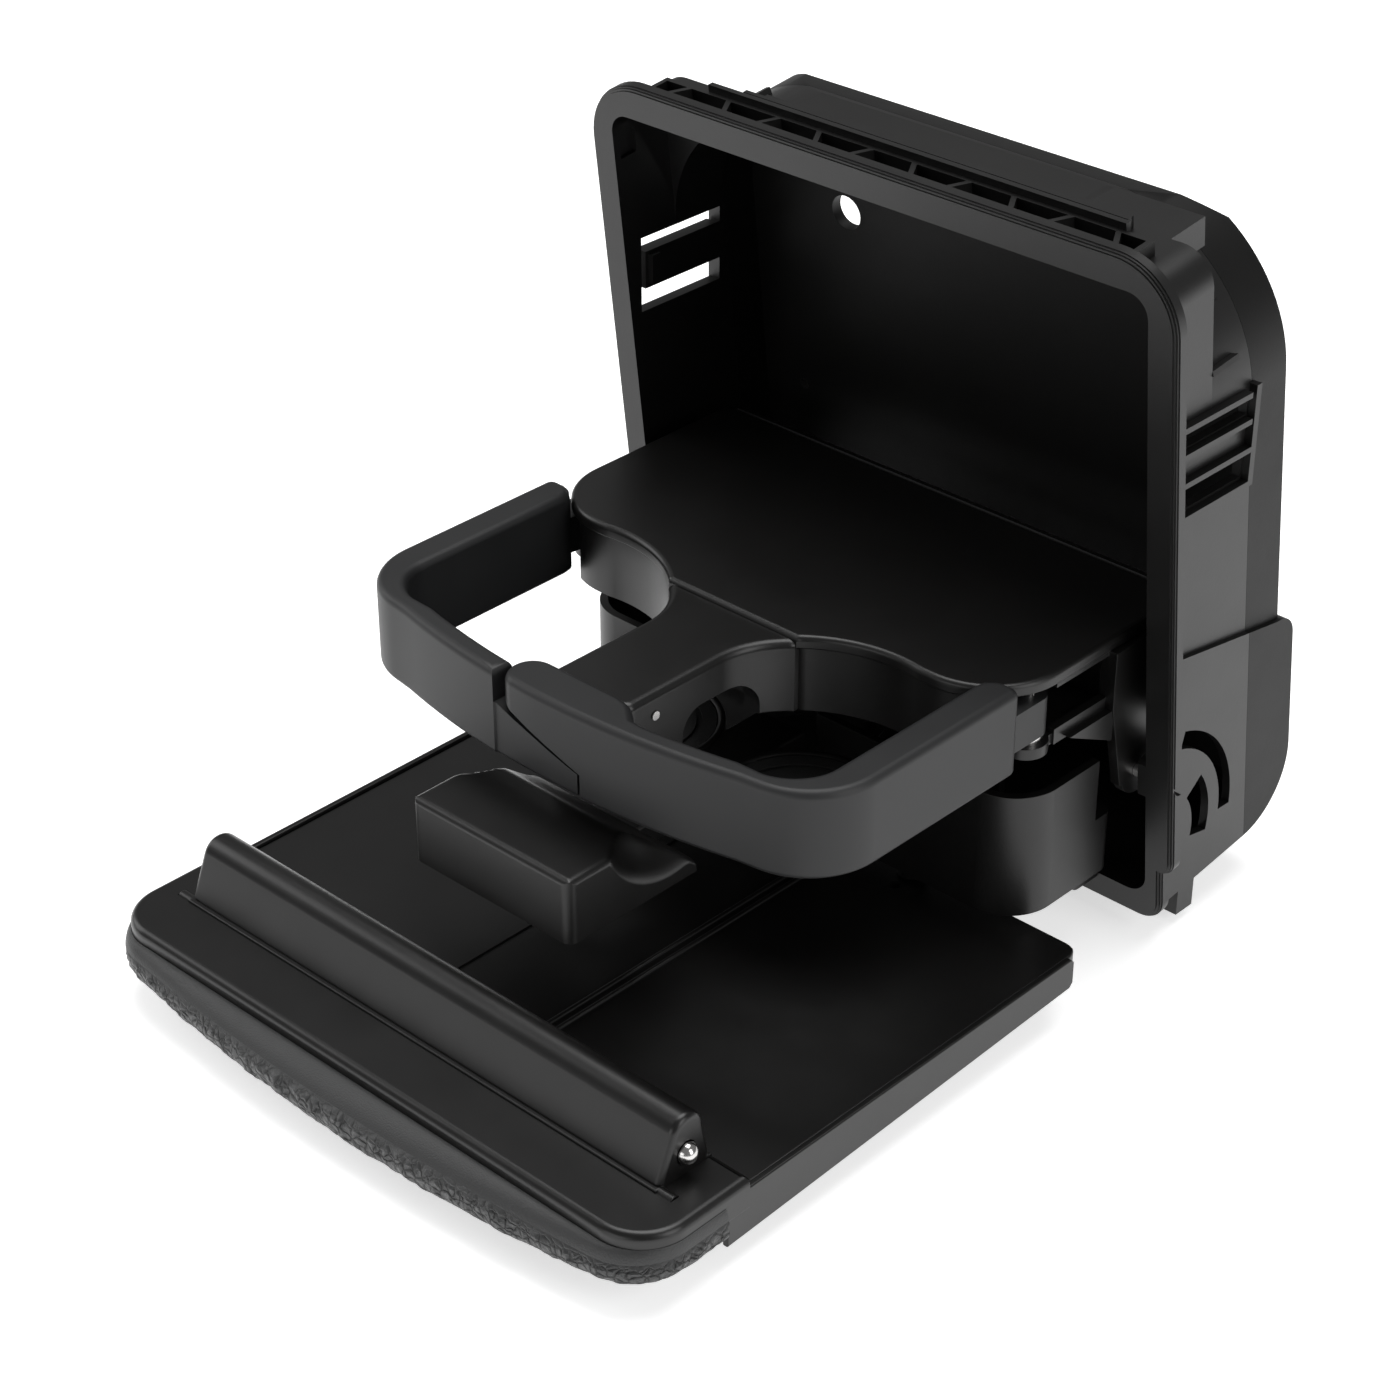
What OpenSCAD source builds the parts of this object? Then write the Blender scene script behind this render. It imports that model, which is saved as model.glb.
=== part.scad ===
// Fold-out twin cup holder for the rear end of a car's centre console.
// Millimetres, +Z up, X along the hinges, -Y towards the passenger.
// The holder is drawn open: door down, deck level, cup rings forward.

/* [Housing] */
// Width of the bezel
bez_w = 189; // [180:1:200]
// Height of the bezel along its own leaning face
bez_h = 195; // [193:1:204]
// Thickness of the bezel plate
bez_t = 4; // [3:0.5:5]
// Corner radius of the bezel
bez_r = 18; // [14:1:22]
// Width of the bezel band beside the opening
band_w = 8.2; // [7.6:0.2:9]
// Lean of the housing towards the passenger, degrees
lean = 6.7; // [5:0.1:8]
// Inside depth of the tub behind the bezel face
tub_d = 51.6; // [51.2:0.2:60]
// Wall thickness of the mouldings
wall = 2.4; // [2:0.1:3]
// Depth of the joint between the housing and its rear shell
part_d = 39; // [34:1:41]
// Radius of the round hole in the back wall
hole_r = 5; // [3:0.5:7]
// Height of the wider lower box
low_h = 54; // [50:1:60]
// Amount by which the lower box is deeper than the tub
low_extra = 5.5; // [4:0.5:8]

/* [Housing ribs] */
// Side of one honeycomb cell
cell_a = 10.3; // [8:0.1:12]
// Thickness of the ribs between the cells
cell_rib = 1.4; // [1:0.1:2]
// Depth of the honeycomb band behind the bezel
comb_d = 8.6; // [7:0.2:10]
// Distance of the honeycomb band's ends inside the bezel's side
comb_in = 16.5; // [15:0.5:30]
// Amount by which the honeycomb stands above the tub roof
rib_h = 4; // [3:0.2:6]
// Distance of the roof trough's left end inside the bezel's side
trough_in = 56.5; // [50:0.5:80]

/* [Pivots] */
// Radius of the deck's pivot pins
deck_pin_r = 2.4; // [2:0.1:2.6]
// Radius of the door's hinge pins
door_pin_r = 2; // [1.5:0.1:2.4]
// Radius of the ring arms' pivot pins
arm_pin_r = 2; // [1.5:0.1:2.4]
// Radius of the cup rest's pivot pin
rest_pin_r = 2.5; // [2:0.1:3]
// Radial running clearance of a pin in its bore
run_c = 0.05; // [0.03:0.01:0.09]
// Side clearance between two leaves of a hinge
leaf_c = 0.5; // [0.3:0.1:0.8]

/* [Door] */
// Distance of the door's side edge inside the bezel's side
door_in = -0.5; // [-1:0.1:3]
// Length of the door from its front edge to the housing face
door_len = 197; // [192:1:200]
// Gap in plan between the door's rear edge and the housing face
door_gap = 36; // [34:1:38]
// Thickness of the door's inner panel
door_t = 5; // [4:0.5:7]
// Height of the raised front rim above the inner panel
rim_h = 3.5; // [2:0.5:4]
// Thickness of the padded leather cover under the panel, at the middle
pad_t = 14; // [10:0.5:16]
// Width of the crowned skin beyond the rim at the front
crown = 8; // [4:0.5:10]

/* [Lock bar] */
// Distance of each end of the lock bar inside the door's side edge
bar_in = 12; // [11:0.5:18]
// Width of the lock bar's foot
bar_w = 18.5; // [16:0.5:20]
// Height of the lock bar above the rim
bar_h = 16; // [12:0.5:18]
// Radius of the steel detent balls
ball_r = 2.9; // [2:0.1:3.2]
// Amount that a ball stands out of the bar
ball_out = 2.9; // [1.5:0.1:3]

/* [Deck] */
// Distance of the deck plate's side inside the bezel's side
deck_in = 15.2; // [15:0.1:19]
// Height of the deck's upper face above the door panel
deck_z = 75.2; // [73:0.2:77]
// Thickness of the deck plate
deck_t = 3.5; // [2.5:0.5:4]
// Height of the carrier under the deck plate
car_h = 18.2; // [16:0.2:19]
// Radius of each cup recess in the deck's front edge
cup_r = 38; // [34:0.5:39]
// Half width of the spine between the cups
spine_hw = 13.3; // [11:0.1:15]
// Distance of the spine's front face from the deck pivot
spine_y = 117.4; // [112:0.2:117.6]

/* [Ring arms] */
// Distance of a ring arm's outer side inside the bezel's side
arm_in = 14.2; // [13.5:0.1:16]
// Distance of the ring arms' front from the deck pivot
arm_y = 132; // [128:0.5:132]
// Thickness of an arm seen from above, at the side
arm_t = 10.3; // [8:0.1:11]
// Thickness of an arm seen from above, at the front
arm_tf = 6.8; // [6:0.1:9]
// Softened edge on top of an arm
arm_e = 3; // [1:0.2:4]
// Height of an arm
arm_h = 24.1; // [20:0.1:24.5]
// Radius of an arm's outer corner
arm_r = 21; // [16:0.5:26]
// Length of the half lap at the middle of the front
lap = 28; // [24:1:32]
// Outward travel of each ring arm, degrees
swing = 2; // [1:0.5:2]

/* [Cup rest] */
// Half width of the block at the front of the cup rest
block_hw = 27.4; // [22:0.2:30]
// Distance of the block's front from the housing face
block_y = 151.6; // [146:0.2:154]
// Height of the block
block_h = 18.2; // [14:0.2:19]
// Radius of each round cup floor
floor_r = 24; // [20:0.2:24.4]

/* [Lower cover] */
// Distance of the lower cover's side inside the bezel's side
cov_in = 16.9; // [16.7:0.1:20]
// Distance of the cover's front from the housing face
cov_y = 44; // [43:0.2:45.5]
// Height of the cover's rim above the door panel
cov_z = 38.2; // [34:0.2:38.4]

/* [Hidden] */
$fn = 48;
c_pl = [0.13, 0.13, 0.13];
c_soft = [0.2, 0.2, 0.21];
c_steel = [0.75, 0.76, 0.78];
c_skin = [0.16, 0.16, 0.16];
tip = 0.02;                           // static clearance of a seated pin
half = bez_w / 2;
bez_bot = -14;                        // bezel foot, along the leaning face
bez_top = bez_bot + bez_h;
open_hw = half - band_w;              // half width of the opening
door_w = bez_w - 2 * door_in;         // width of the door's raised front rim
bar_len = door_w - 2 * bar_in;
deck_w = bez_w - 2 * deck_in;
arm_hw = half - arm_in;
cov_hw = half - cov_in;
comb_w = bez_w - 2 * comb_in;
trough_x0 = trough_in - half;
trough_w = comb_w / 2 - 3 - trough_x0;
cup_x = (spine_hw + arm_hw) / 2 + 0.2;   // middle of each cup
cup_y = spine_y - 23;
pad_x = cup_x - 18;                   // middle of each cup floor
pad_y = 72;
open_top = bez_top - band_w - 0.8;
open_bot = bez_bot + band_w;
roof_in = open_top - 1;               // roof of the tub behind the first step
step_d = 20;                          // depth of the first step
roof_r = 42;                          // corner radius of the roof behind the first step
out_hw = open_hw + wall;
back_o = tub_d + wall * 0.8;          // outer face of the back wall
low_hw = half - 4.5;                    // outer half width of the lower box
low_in = low_hw - wall;
low_d = back_o + low_extra;
low_r = 20;                           // lower rear radius of the low box
floor_s = -8.8;                       // outer face of the lower box's floor
// Pivots, as [y, z] in the open frame
deck_p = [0, 32];
door_p = [-7, -3];
rest_p = [-16, 16];
arm_p = [arm_hw - 6.3, -40];          // [x, y] of the arms' upright pins
table_z = -door_t - pad_t;            // surface that the holder stands on
door_hw = door_w / 2;
pan_hw = door_hw - 2;
door_rim_y = 36 - door_len;           // rear end of the raised rim
skin_y = door_len + crown;
back_y = (low_d - low_r) * cos(lean) - (floor_s + low_r) * sin(lean) + low_r;
y0 = (skin_y - back_y) / 2;           // puts the origin under the middle
car_z = deck_z - deck_t - car_h;      // underside of the carrier
arm_z = car_z;                        // underside of the arms
arm_top = arm_z + arm_h;
lap_z = arm_z + arm_h / 2;            // joint plane of the half lap
swing_run = (arm_p[0] + lap / 2 + 3.6) * sin(swing);   // forward run of the nose when the arm swings out
fold_r = norm([arm_y + swing_run, arm_top - deck_p[1]]) + 0.4;   // roof radius that clears the folding arms
piv_d = deck_p[0] * cos(lean) + deck_p[1] * sin(lean);   // deck pivot in the housing's own frame
piv_s = deck_p[1] * cos(lean) - deck_p[0] * sin(lean);
fold_c = piv_d + arm_top - deck_p[1] + piv_s + arm_y + swing_run - 0.6 * arm_e + 0.4;   // d + s of the roof's rear chamfer, inside
wing_hw = arm_hw + 0.8;               // outer face of the deck's side wings
bar_y = 16.5 - door_len;              // front of the lock bar's foot
ball_y = bar_y + 10.1;
ball_z = rim_h + 5.9;
ball_x = bar_len / 2 + ball_out - ball_r;
scr_y = -cov_y + wall + 2.4;          // screws of the lower cover
scr_x = cov_hw - 37.6;
foot_z = -16.5;                       // underside of the housing's feet
lug_x = cov_hw - 27.6;                // inner end of a door hinge knuckle
knuckle_w = 14;                       // width of a knuckle
lug_w = 6;                            // width of a lug beside it
trough_d1 = 37.8;                     // rear face of the roof trough
arm_bow = 252;                        // radius of the arms' bowed front
clip_d = 6;                           // front of the snap tongue's slots
clip_s = 127.6;                       // foot of the upper slot
spine_front_gap = arm_y - 4 - spine_y - 0.9;   // nose up to the spine's front
nose_r = (arm_y - 0.4 - spine_y - 0.9) / 2;    // rounded end of the nose
car_back = 8.6;                       // rear of the carrier, clear of the lower cover's rim while folding
apron_r = norm([18, deck_z - deck_p[1]]);      // radius of the deck's rear apron
rest_z = 28.8;                        // underside of the cup rest's block
spine_p = [9.8 - spine_y, deck_z - 7.6];   // pin across the spine, as [y, z]
screw_x = [16.7 - out_hw, out_hw - 16.7];                  // screws in the back wall
screw_s = [low_h + 16, roof_in - 29];
hole_p = [-52, roof_in - 40.5];       // middle of the round hole in the back wall, as [x, height]

// ---- helpers ----
// Rounded rectangle from (x0, y0) to (x1, y1), top and bottom radii given
module rr(x0, x1, y0, y1, rt, rb) {
    translate([x0, y0 + rb]) square([x1 - x0, y1 - y0 - rt - rb]);
    translate([x0 + rt, y1 - rt]) square([x1 - x0 - 2 * rt, rt]);
    translate([x0 + rb, y0]) square([x1 - x0 - 2 * rb, rb]);
    for (x = [x0 + rt, x1 - rt]) translate([x, y1 - rt]) circle(rt);
    for (x = [x0 + rb, x1 - rb]) translate([x, y0 + rb]) circle(rb);
}
// Extrudes an (x, height) outline backwards from depth d by t
module slab(d, t) { translate([0, d + t, 0]) rotate([90, 0, 0]) linear_extrude(t) children(); }
// Extrudes a (depth, height) outline along X from x by t
module side(x, t) { translate([x, 0, 0]) rotate([90, 0, 90]) linear_extrude(t) children(); }
// Puts the leaning housing into the open frame
module leaned() { rotate([lean, 0, 0]) children(); }
// Moves the open frame so that the origin lies on the table, under the middle
module place() { translate([0, y0, -table_z]) children(); }
// Pin along X at [y, z], from x by l
module xpin(p, x, l, r) { translate([x, p[0], p[1]]) rotate([0, 90, 0]) cylinder(h = l, r = r); }
module both() { children(); mirror([1, 0, 0]) children(); }
// Sector from a0 to a1 of the ring r0 to r1
module ring_arc(r0, r1, a0, a1) {
    intersection() {
        difference() { circle(r1, $fn = 96); circle(r0, $fn = 96); }
        polygon(concat([[0, 0]], [for (i = [0:4]) let (a = a0 + (a1 - a0) * i / 4) 2 * r1 * [cos(a), sin(a)]]));
    }
}

// ---- housing ----
module tub_outline(hw, top, r) rr(-hw, hw, floor_s, top, r, 6);

// Side profile of the lower box: sloped shoulder above, large lower rear radius
module low_profile(inset) {
    d0 = bez_t - 0.5; d1 = low_d - inset; s0 = floor_s + inset; r = low_r - inset; q = 7 - inset;
    polygon([[d0, s0], [d1 - r, s0], [d1 - r, s0 + r], [d1, s0 + r],
             [d1, low_h - 7], [d1 - q, low_h - 7], [d1 - q, low_h - inset], [d0, low_h + 14 - inset]]);
    translate([d1 - r, s0 + r]) circle(r);
    translate([d1 - q, low_h - 7]) circle(q);
}
// Side profile under which the roof stays: rounded about the deck's pivot
module roof_profile(inset) {
    polygon([[-9, floor_s - 9], [low_d + 9, floor_s - 9], [low_d + 9, low_h], [back_o - inset, low_h],
             [back_o - inset, 120], [0, 120], [0, 220], [-9, 220]]);
    intersection() {
        translate([piv_d, piv_s]) circle(fold_r + wall - inset, $fn = 180);
        polygon([[-9, 110], [back_o - inset, 110], [back_o - inset, fold_c + 1.414 * (wall - inset) - back_o + inset],
                 [fold_c - 230 + 1.414 * (wall - inset), 230], [-9, 230]]);
    }
}
// Solid of the whole body from depth a to depth b
module body_solid(a, b) {
    intersection() {
        union() {
            slab(bez_t - 0.5, step_d + wall - bez_t + 0.5) tub_outline(out_hw, open_top + wall, 9);
            intersection() {
                slab(step_d, back_o - step_d) tub_outline(out_hw, roof_in + wall, roof_r + 2);
                side(-100, 200) roof_profile(0);
            }
            side(-low_hw, 2 * low_hw) low_profile(0);
        }
        translate([-200, a, -100]) cube([400, b - a, 400]);
    }
}
// Space inside the body
module body_space() {
    slab(-1, step_d + 1) rr(-open_hw, open_hw, open_bot, open_top, 6, 6);
    intersection() {
        slab(step_d - 1, tub_d - step_d + 1) rr(-open_hw, open_hw, open_bot, roof_in, roof_r, 6);
        side(-100, 200) roof_profile(wall);
    }
    intersection() {
        side(-low_in, 2 * low_in) low_profile(wall);
        translate([-200, bez_t, open_bot]) cube([400, 100, 200]);
    }
}
// Bezel outline: narrower at the foot, like the lower box
module bezel_outline() {
    rr(-half, half, 3, bez_top, bez_r, 5);
    rr(-low_hw - 1, low_hw + 1, bez_bot, 60, 5, 7);
}
// Bezel plate with softened front edges, built up in four steps
module bezel() {
    for (k = [[0, 1.3], [0.35, 0.7], [0.8, 0.3]]) slab(k[0], bez_t - k[0]) offset_in(k[1]);
    slab(1.4, bez_t - 1.4) bezel_outline();
}
module offset_in(e) {
    rr(-half + e, half - e, 3 + e, bez_top - e, bez_r - e, 5 - e);
    rr(-low_hw - 1 + e, low_hw + 1 - e, bez_bot + e, 60, 5, 7 - e);
}

// Honeycomb band behind the bezel: hexagonal cells cut into a flat strip
module honeycomb() {
    d0 = bez_t - 0.2; ph = cell_a * 1.7321; n = floor(comb_w / cell_a / 3);
    difference() {
        translate([-comb_w / 2, d0, open_top + wall - 1]) cube([comb_w, comb_d + cell_rib, rib_h + 1]);
        intersection() {
            translate([-comb_w / 2 + cell_rib, d0 + 0.8, open_top + wall]) cube([comb_w - 2 * cell_rib, comb_d - 0.8, 30]);
            for (i = [-n:n]) translate([i * cell_a * 1.5, d0 + 2.6 + (i % 2 == 0 ? 0 : ph / 2), open_top + wall])
                cylinder(h = 20, r = cell_a - cell_rib * 0.577, $fn = 6);
        }
    }
}
// Flange, rails and open trough on the roof, behind the honeycomb
module roof_rails() {
    z = roof_in + wall - 1;
    d1 = bez_t + comb_d + cell_rib - 0.4;
    translate([-comb_w / 2 + 15, d1, open_top + wall - 1]) cube([comb_w - 23, 1.6, bez_top - 0.6 - open_top - wall + 1]);
    for (k = [0:1]) translate([trough_x0 - 16 + 4 * k, d1 + 3.4 + k * 3.4, z]) cube([trough_w + 9 - 6 * k, 1.3, 7 - k * 1.6]);
    for (x = [trough_x0 - 12:15.5:comb_w / 2 - 16]) translate([x, d1, z]) cube([1.3, 8, 4.2]);
    // trough
    difference() {
        translate([trough_x0, d1 + 8, z - 7]) cube([trough_w, trough_d1 - d1 - 8, open_top + 1.2 - z + 7]);
        translate([trough_x0 + 1.6, d1 + 9.6, z + 1.4]) cube([trough_w - 3.2, trough_d1 - d1 - 11.2, 30]);
    }
    // radial ribs over both rear corners
    both() for (a = [16:18:70])
        translate([out_hw - roof_r - 2, step_d + wall, roof_in + wall - roof_r - 2]) rotate([0, 90 - a, 0])
            translate([-0.7, 0, roof_r - 1]) cube([1.4, part_d - step_d - wall - 6, 5]);
}
// Cuts around a side's snap tongue: two slots joined at the front
module clip_cut() {
    translate([open_hw - 3, clip_d, clip_s]) rotate([-lean, 0, 0]) {
        cube([12, 31, 4.4]);
        translate([0, 0, -17.2]) cube([12, 31, 6.4]);
        translate([0, 0, -14]) cube([12, 1.6, 16]);
    }
}
module housing() color(c_pl) place() difference() {
    union() {
        leaned() difference() {
            union() {
                bezel();
                body_solid(0, part_d);
                honeycomb();
                roof_rails();
                // frames around the snap tongues, outside
                both() for (s = [-19.6, -10, -2, 5.4]) translate([out_hw - 0.4, clip_d, clip_s + s]) rotate([-lean, 0, 0]) cube([2.6, 30.5, 1.5]);
                both() translate([out_hw - 0.4, clip_d + 29, clip_s - 23]) rotate([-lean, 0, 0]) cube([2.6, 2, 27.6]);
            }
            difference() {
                body_space();
                // bosses of the deck pivot and hooks of the snap tongues stay
                both() side(low_hw - 6.4, 8) intersection() { translate([piv_d, piv_s]) circle(6); translate([0.2, 0]) square([30, 80]); }
                both() translate([open_hw - 1.6, clip_d + 1.7, clip_s - 9.6]) rotate([-lean, 0, 0]) cube([3, 3, 8.4]);
            }
            // ball catches beside the top of the opening
            both() translate([open_hw - 1, 2.2, 157.4]) cube([2.2, 5.8, 7]);
            both() clip_cut();
            // triangular notch behind the bezel
            both() translate([out_hw, bez_t + 2.4, 99]) rotate([0, 90, 0]) cylinder(h = 3, r = 4.4, $fn = 3, center = true);
        }
        // lugs of the door hinge, in front of the bezel's foot
        both() for (x = [lug_x - lug_w - leaf_c, lug_x + knuckle_w + leaf_c]) {
            xpin(door_p, x, lug_w, 4.2);
            translate([x, door_p[0], door_p[1] - 4.2]) cube([lug_w, 9.6, 7.4]);
        }
        // feet
        both() translate([low_hw - 6, 12, foot_z]) cube([5, 7, floor_s - foot_z + 3]);
    }
    both() xpin(door_p, lug_x - 20, 50, door_pin_r + tip);
    both() xpin(deck_p, low_hw - 20, 40, deck_pin_r + tip);
    // curved slots beside the hinge
    both() side(low_hw - 6, 12) translate([-2.4, 12]) { ring_arc(28, 33, -2, 74); ring_arc(16, 23.4, -12, 38); }
}

// Rear shell behind the joint plane, with the round hole
module rear_shell() color(c_pl) place() leaned() difference() {
    union() {
        body_solid(part_d + 0.1, 200);
        // peg low on both sides
        both() translate([low_hw - 9, low_d - 3, 24]) cube([5, 5, 8]);
        // ring around the hole
        translate([hole_p[0], back_o - 0.4, hole_p[1]]) rotate([-90, 0, 0]) cylinder(h = 1.4, r = hole_r + 3);
        // upright ribs on the back
        for (x = [-60:24:60]) translate([x - 0.8, back_o - 0.4, low_h - 4]) cube([1.6, 2.4, 62]);
        for (x = [-60:24:60]) translate([x - 0.8, low_d - 0.4, 14]) cube([1.6, 2, 28]);
    }
    body_space();
    translate([hole_p[0], 0, hole_p[1]]) rotate([-90, 0, 0]) cylinder(h = 100, r = hole_r);
    for (x = screw_x, s = screw_s) translate([x, 30, s]) rotate([-90, 0, 0]) cylinder(h = 60, r = 1.6);
}
// Pan-head screws in the back wall, the same at all four corners
module shell_screws() color(c_steel) place() leaned()
    for (x = screw_x, s = screw_s) translate([x, back_o + 0.05, s]) rotate([-90, 0, 0])
        difference() {
            union() { cylinder(h = 2.2, r = 3.4); translate([0, 0, -2.2]) cylinder(h = 2.3, r = 1.55); }
            for (a = [0, 90]) rotate([0, 0, a]) translate([-2, -0.4, 1.2]) cube([4, 0.8, 2]);
        }

// ---- pins ----
module door_pin_l() color(c_steel) place() mirror([1, 0, 0]) xpin(door_p, lug_x - lug_w - leaf_c - 0.5, knuckle_w + 2 * lug_w + 2 * leaf_c + 1, door_pin_r);
module door_pin_r() color(c_steel) place() xpin(door_p, lug_x - lug_w - leaf_c - 0.5, knuckle_w + 2 * lug_w + 2 * leaf_c + 1, door_pin_r);
module deck_pin_l() color(c_steel) place() mirror([1, 0, 0]) xpin(deck_p, wing_hw - 2.8, low_hw - wing_hw + 2.6, deck_pin_r);
module deck_pin_r() color(c_steel) place() xpin(deck_p, wing_hw - 2.8, low_hw - wing_hw + 2.6, deck_pin_r);

// ---- door ----
// Plan of the door's inner side
module door_plan(hw, front, rear, rf) rr(-hw, hw, -front, -rear, 10, rf);

// Inner panel with raised rim, centre channel and grooves
module door_panel() color(c_pl) place() difference() {
    union() {
        translate([0, 0, -door_t]) linear_extrude(door_t) door_plan(pan_hw, door_len - 3, door_gap, 13);
        intersection() {
            translate([0, 0, -door_t]) linear_extrude(door_t + rim_h) door_plan(door_hw, door_len, door_gap, 14);
            translate([-200, -door_len - 1, -door_t]) cube([400, door_len + 1 + door_rim_y, 50]);
        }
    }
    // seats of the lock bar's end pegs
    both() xpin([bar_y + 1.6, rim_h - 0.9], bar_len / 2 - 2.2, 6.8, 1.62);
    // centre channel of the cup rest, with a double groove on its right
    translate([-15.6, -150, -1.2]) cube([31.2, 98, 3]);
    translate([17.4, -150, -0.8]) cube([1.4, 98, 2]);
    // step across the door near the hinge
    translate([-200, -50, -0.8]) cube([400, 20, 2]);
    // seats of the lower cover's screws
    both() translate([scr_x, scr_y, -20]) cylinder(h = 30, r = 1.6);
}

// Firm pad between the panel and the leather
module door_pad() color([0.3, 0.3, 0.3]) place()
    translate([0, 0, -door_t - 6]) linear_extrude(5.9) door_plan(pan_hw - 6, door_len - 8, door_gap + 4, 12);

// Leather cover: crowned across and lengthwise, closed below the panel
module door_skin() color(c_skin) place() difference() {
    hull() {
        translate([0, 0, -door_t - 1]) linear_extrude(0.95) door_plan(pan_hw - 0.5, door_len - 1, door_gap, 14, $fn = 32);
        for (i = [-4:4]) let (x = i * 20.5)
            translate([x, 0, 0]) {
                translate([0, -door_len - crown * cos(i * 20) + 3, -door_t - 5]) sphere(3, $fn = 16);
                translate([0, -door_gap - 16, -door_t - pad_t * cos(i * 13) * 0.82]) sphere(0.5, $fn = 8);
                translate([0, -door_len + 34, -door_t - pad_t * cos(i * 13) + 0.5]) sphere(0.5, $fn = 8);
            }
    }
    translate([0, 0, -door_t - 6.1]) linear_extrude(20) door_plan(pan_hw - 5.8, door_len - 7.8, door_gap + 3.8, 12, $fn = 32);
}

// Cross-section of the lock bar: steep back, sloping front, round top
module bar_section() {
    r = 4.4;
    translate([bar_y, rim_h]) polygon([[0, 0], [bar_w, 0], [bar_w, 2], [bar_w - 2.2, bar_h - r],
        [bar_w - 2.2 - r, bar_h], [bar_w - 2.2 - r - 0.6, bar_h], [1.4, 3], [0, 2]]);
    translate([bar_y + bar_w - 2.2 - r, rim_h + bar_h - r]) circle(r);
}
module lock_bar() color(c_pl) place() difference() {
    union() {
        side(-bar_len / 2, bar_len) bar_section();
        // foot flange and end pegs
        translate([-bar_len / 2 - 1, bar_y, rim_h]) cube([bar_len + 2, bar_w, 0.7]);
        both() xpin([bar_y + 1.6, rim_h - 0.9], bar_len / 2 - 2, 6.4, 1.6);
    }
    both() xpin([ball_y, ball_z], bar_len / 2 - 16, 30, ball_r + run_c);
}
module ball_l() color(c_steel) place() translate([-ball_x, ball_y, ball_z]) sphere(ball_r);
module ball_r() color(c_steel) place() translate([ball_x, ball_y, ball_z]) sphere(ball_r);
module ball_spring() xpin([ball_y, ball_z], bar_len / 2 - 16, ball_x - ball_r - bar_len / 2 + 16 - 0.05, ball_r - 0.5);
module ball_spring_l() color(c_steel) place() mirror([1, 0, 0]) ball_spring();
module ball_spring_r() color(c_steel) place() ball_spring();

// ---- lower cover, moves with the door ----
module cover_plan(inset) rr(-cov_hw + inset, cov_hw - inset, -cov_y + inset, -4.6 - inset, 3, 14 - inset);
module lower_cover() color(c_pl) place() difference() {
    union() {
        difference() {
            translate([0, 0, 2.4]) linear_extrude(cov_z - 2.4) cover_plan(0);
            translate([0, 0, 2.4 + wall]) linear_extrude(cov_z) cover_plan(wall);
            // low rear wall
            translate([-200, -12, 20]) cube([400, 20, 60]);
            // way for the cup rest's stem
            translate([-10, -60, 8]) cube([20, 30, 60]);
            // floor is cut back over the hinge lugs
            both() translate([lug_x - 7.4, -13.6, -10]) cube([knuckle_w + 15, 20, 60]);
        }
        // hinge knuckles on both sides
        both() difference() {
            union() {
                xpin(door_p, lug_x, knuckle_w, 4);
                translate([lug_x, -24, 0.4]) cube([knuckle_w, 12, 4.4]);
                side(lug_x, knuckle_w) polygon([[door_p[0] - 4, door_p[1]], [door_p[0] + 2.6, door_p[1] + 3], [-13, 4.6], [-24, 4.6], [-24, 0.4]]);
            }
        }
        // ears of the cup rest's pin
        both() side(8, 3) { translate(rest_p) circle(5.4); translate([rest_p[0] - 5.4, 3]) square([10.8, rest_p[1] - 3]); }
        // stand on the door panel
        both() translate([scr_x, scr_y, 0.05]) cylinder(h = 3, r = 4);
        // ribs along the inside
        both() for (x = [scr_x - 16, scr_x + 4, scr_x + 22]) translate([x, -cov_y + 1, 3]) cube([1.6, 14, 22]);
    }
    both() xpin(door_p, lug_x - 10, 36, door_pin_r + run_c);
    xpin(rest_p, -20, 40, rest_pin_r + tip);
    both() translate([scr_x, scr_y, -20]) cylinder(h = 40, r = 1.6);
}
module cover_screws() color(c_steel) place() both() translate([scr_x, scr_y, 2.4 + wall + 0.05]) { cylinder(h = 2, r = 2.2); translate([0, 0, -8]) cylinder(h = 9, r = 1.5); }
module rest_pin() color(c_steel) place() xpin(rest_p, -11, 22, rest_pin_r);

// ---- cup rest ----
module cup_rest() color(c_pl) place() difference() {
    union() {
        // block, scooped by the two cups into a saddle
        difference() {
            translate([0, 0, rest_z]) linear_extrude(block_h) rr(-block_hw, block_hw, -block_y, -108, 2, 3);
            both() translate([cup_x, 34.6 - block_y, rest_z + block_h + 9]) sphere(35.5, $fn = 96);
            // slope behind the saddle
            translate([0, -127, rest_z + block_h]) rotate([-38, 0, 0]) translate([-40, 0, 0]) cube([80, 60, 30]);
            // hollow below
            translate([-block_hw + wall, -block_y + wall, rest_z - 1]) cube([2 * block_hw - 2 * wall, 16, block_h - wall + 1]);
        }
        // keel back to the cup floors
        translate([floor_r - pad_x - 3, -112, rest_z - 3]) cube([2 * (pad_x - floor_r + 3), 66, 7]);
        // round cup floors
        both() translate([pad_x, -pad_y, rest_z]) cylinder(h = 4.6, r = floor_r, $fn = 96);
        // stem into the lower cover
        side(-6, 12) polygon([[-50, rest_z + 4], [-62, rest_z - 3], [-34, 12], [rest_p[0], rest_p[1] - 5.6], [rest_p[0], rest_p[1] + 5.6], [-40, rest_z - 0.6]]);
        xpin(rest_p, -7.5, 15, 5.6);
    }
    both() translate([pad_x, -pad_y, rest_z + 2.2]) cylinder(h = 10, r = floor_r - 2, $fn = 96);
    xpin(rest_p, -20, 40, rest_pin_r + run_c);
}
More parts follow.
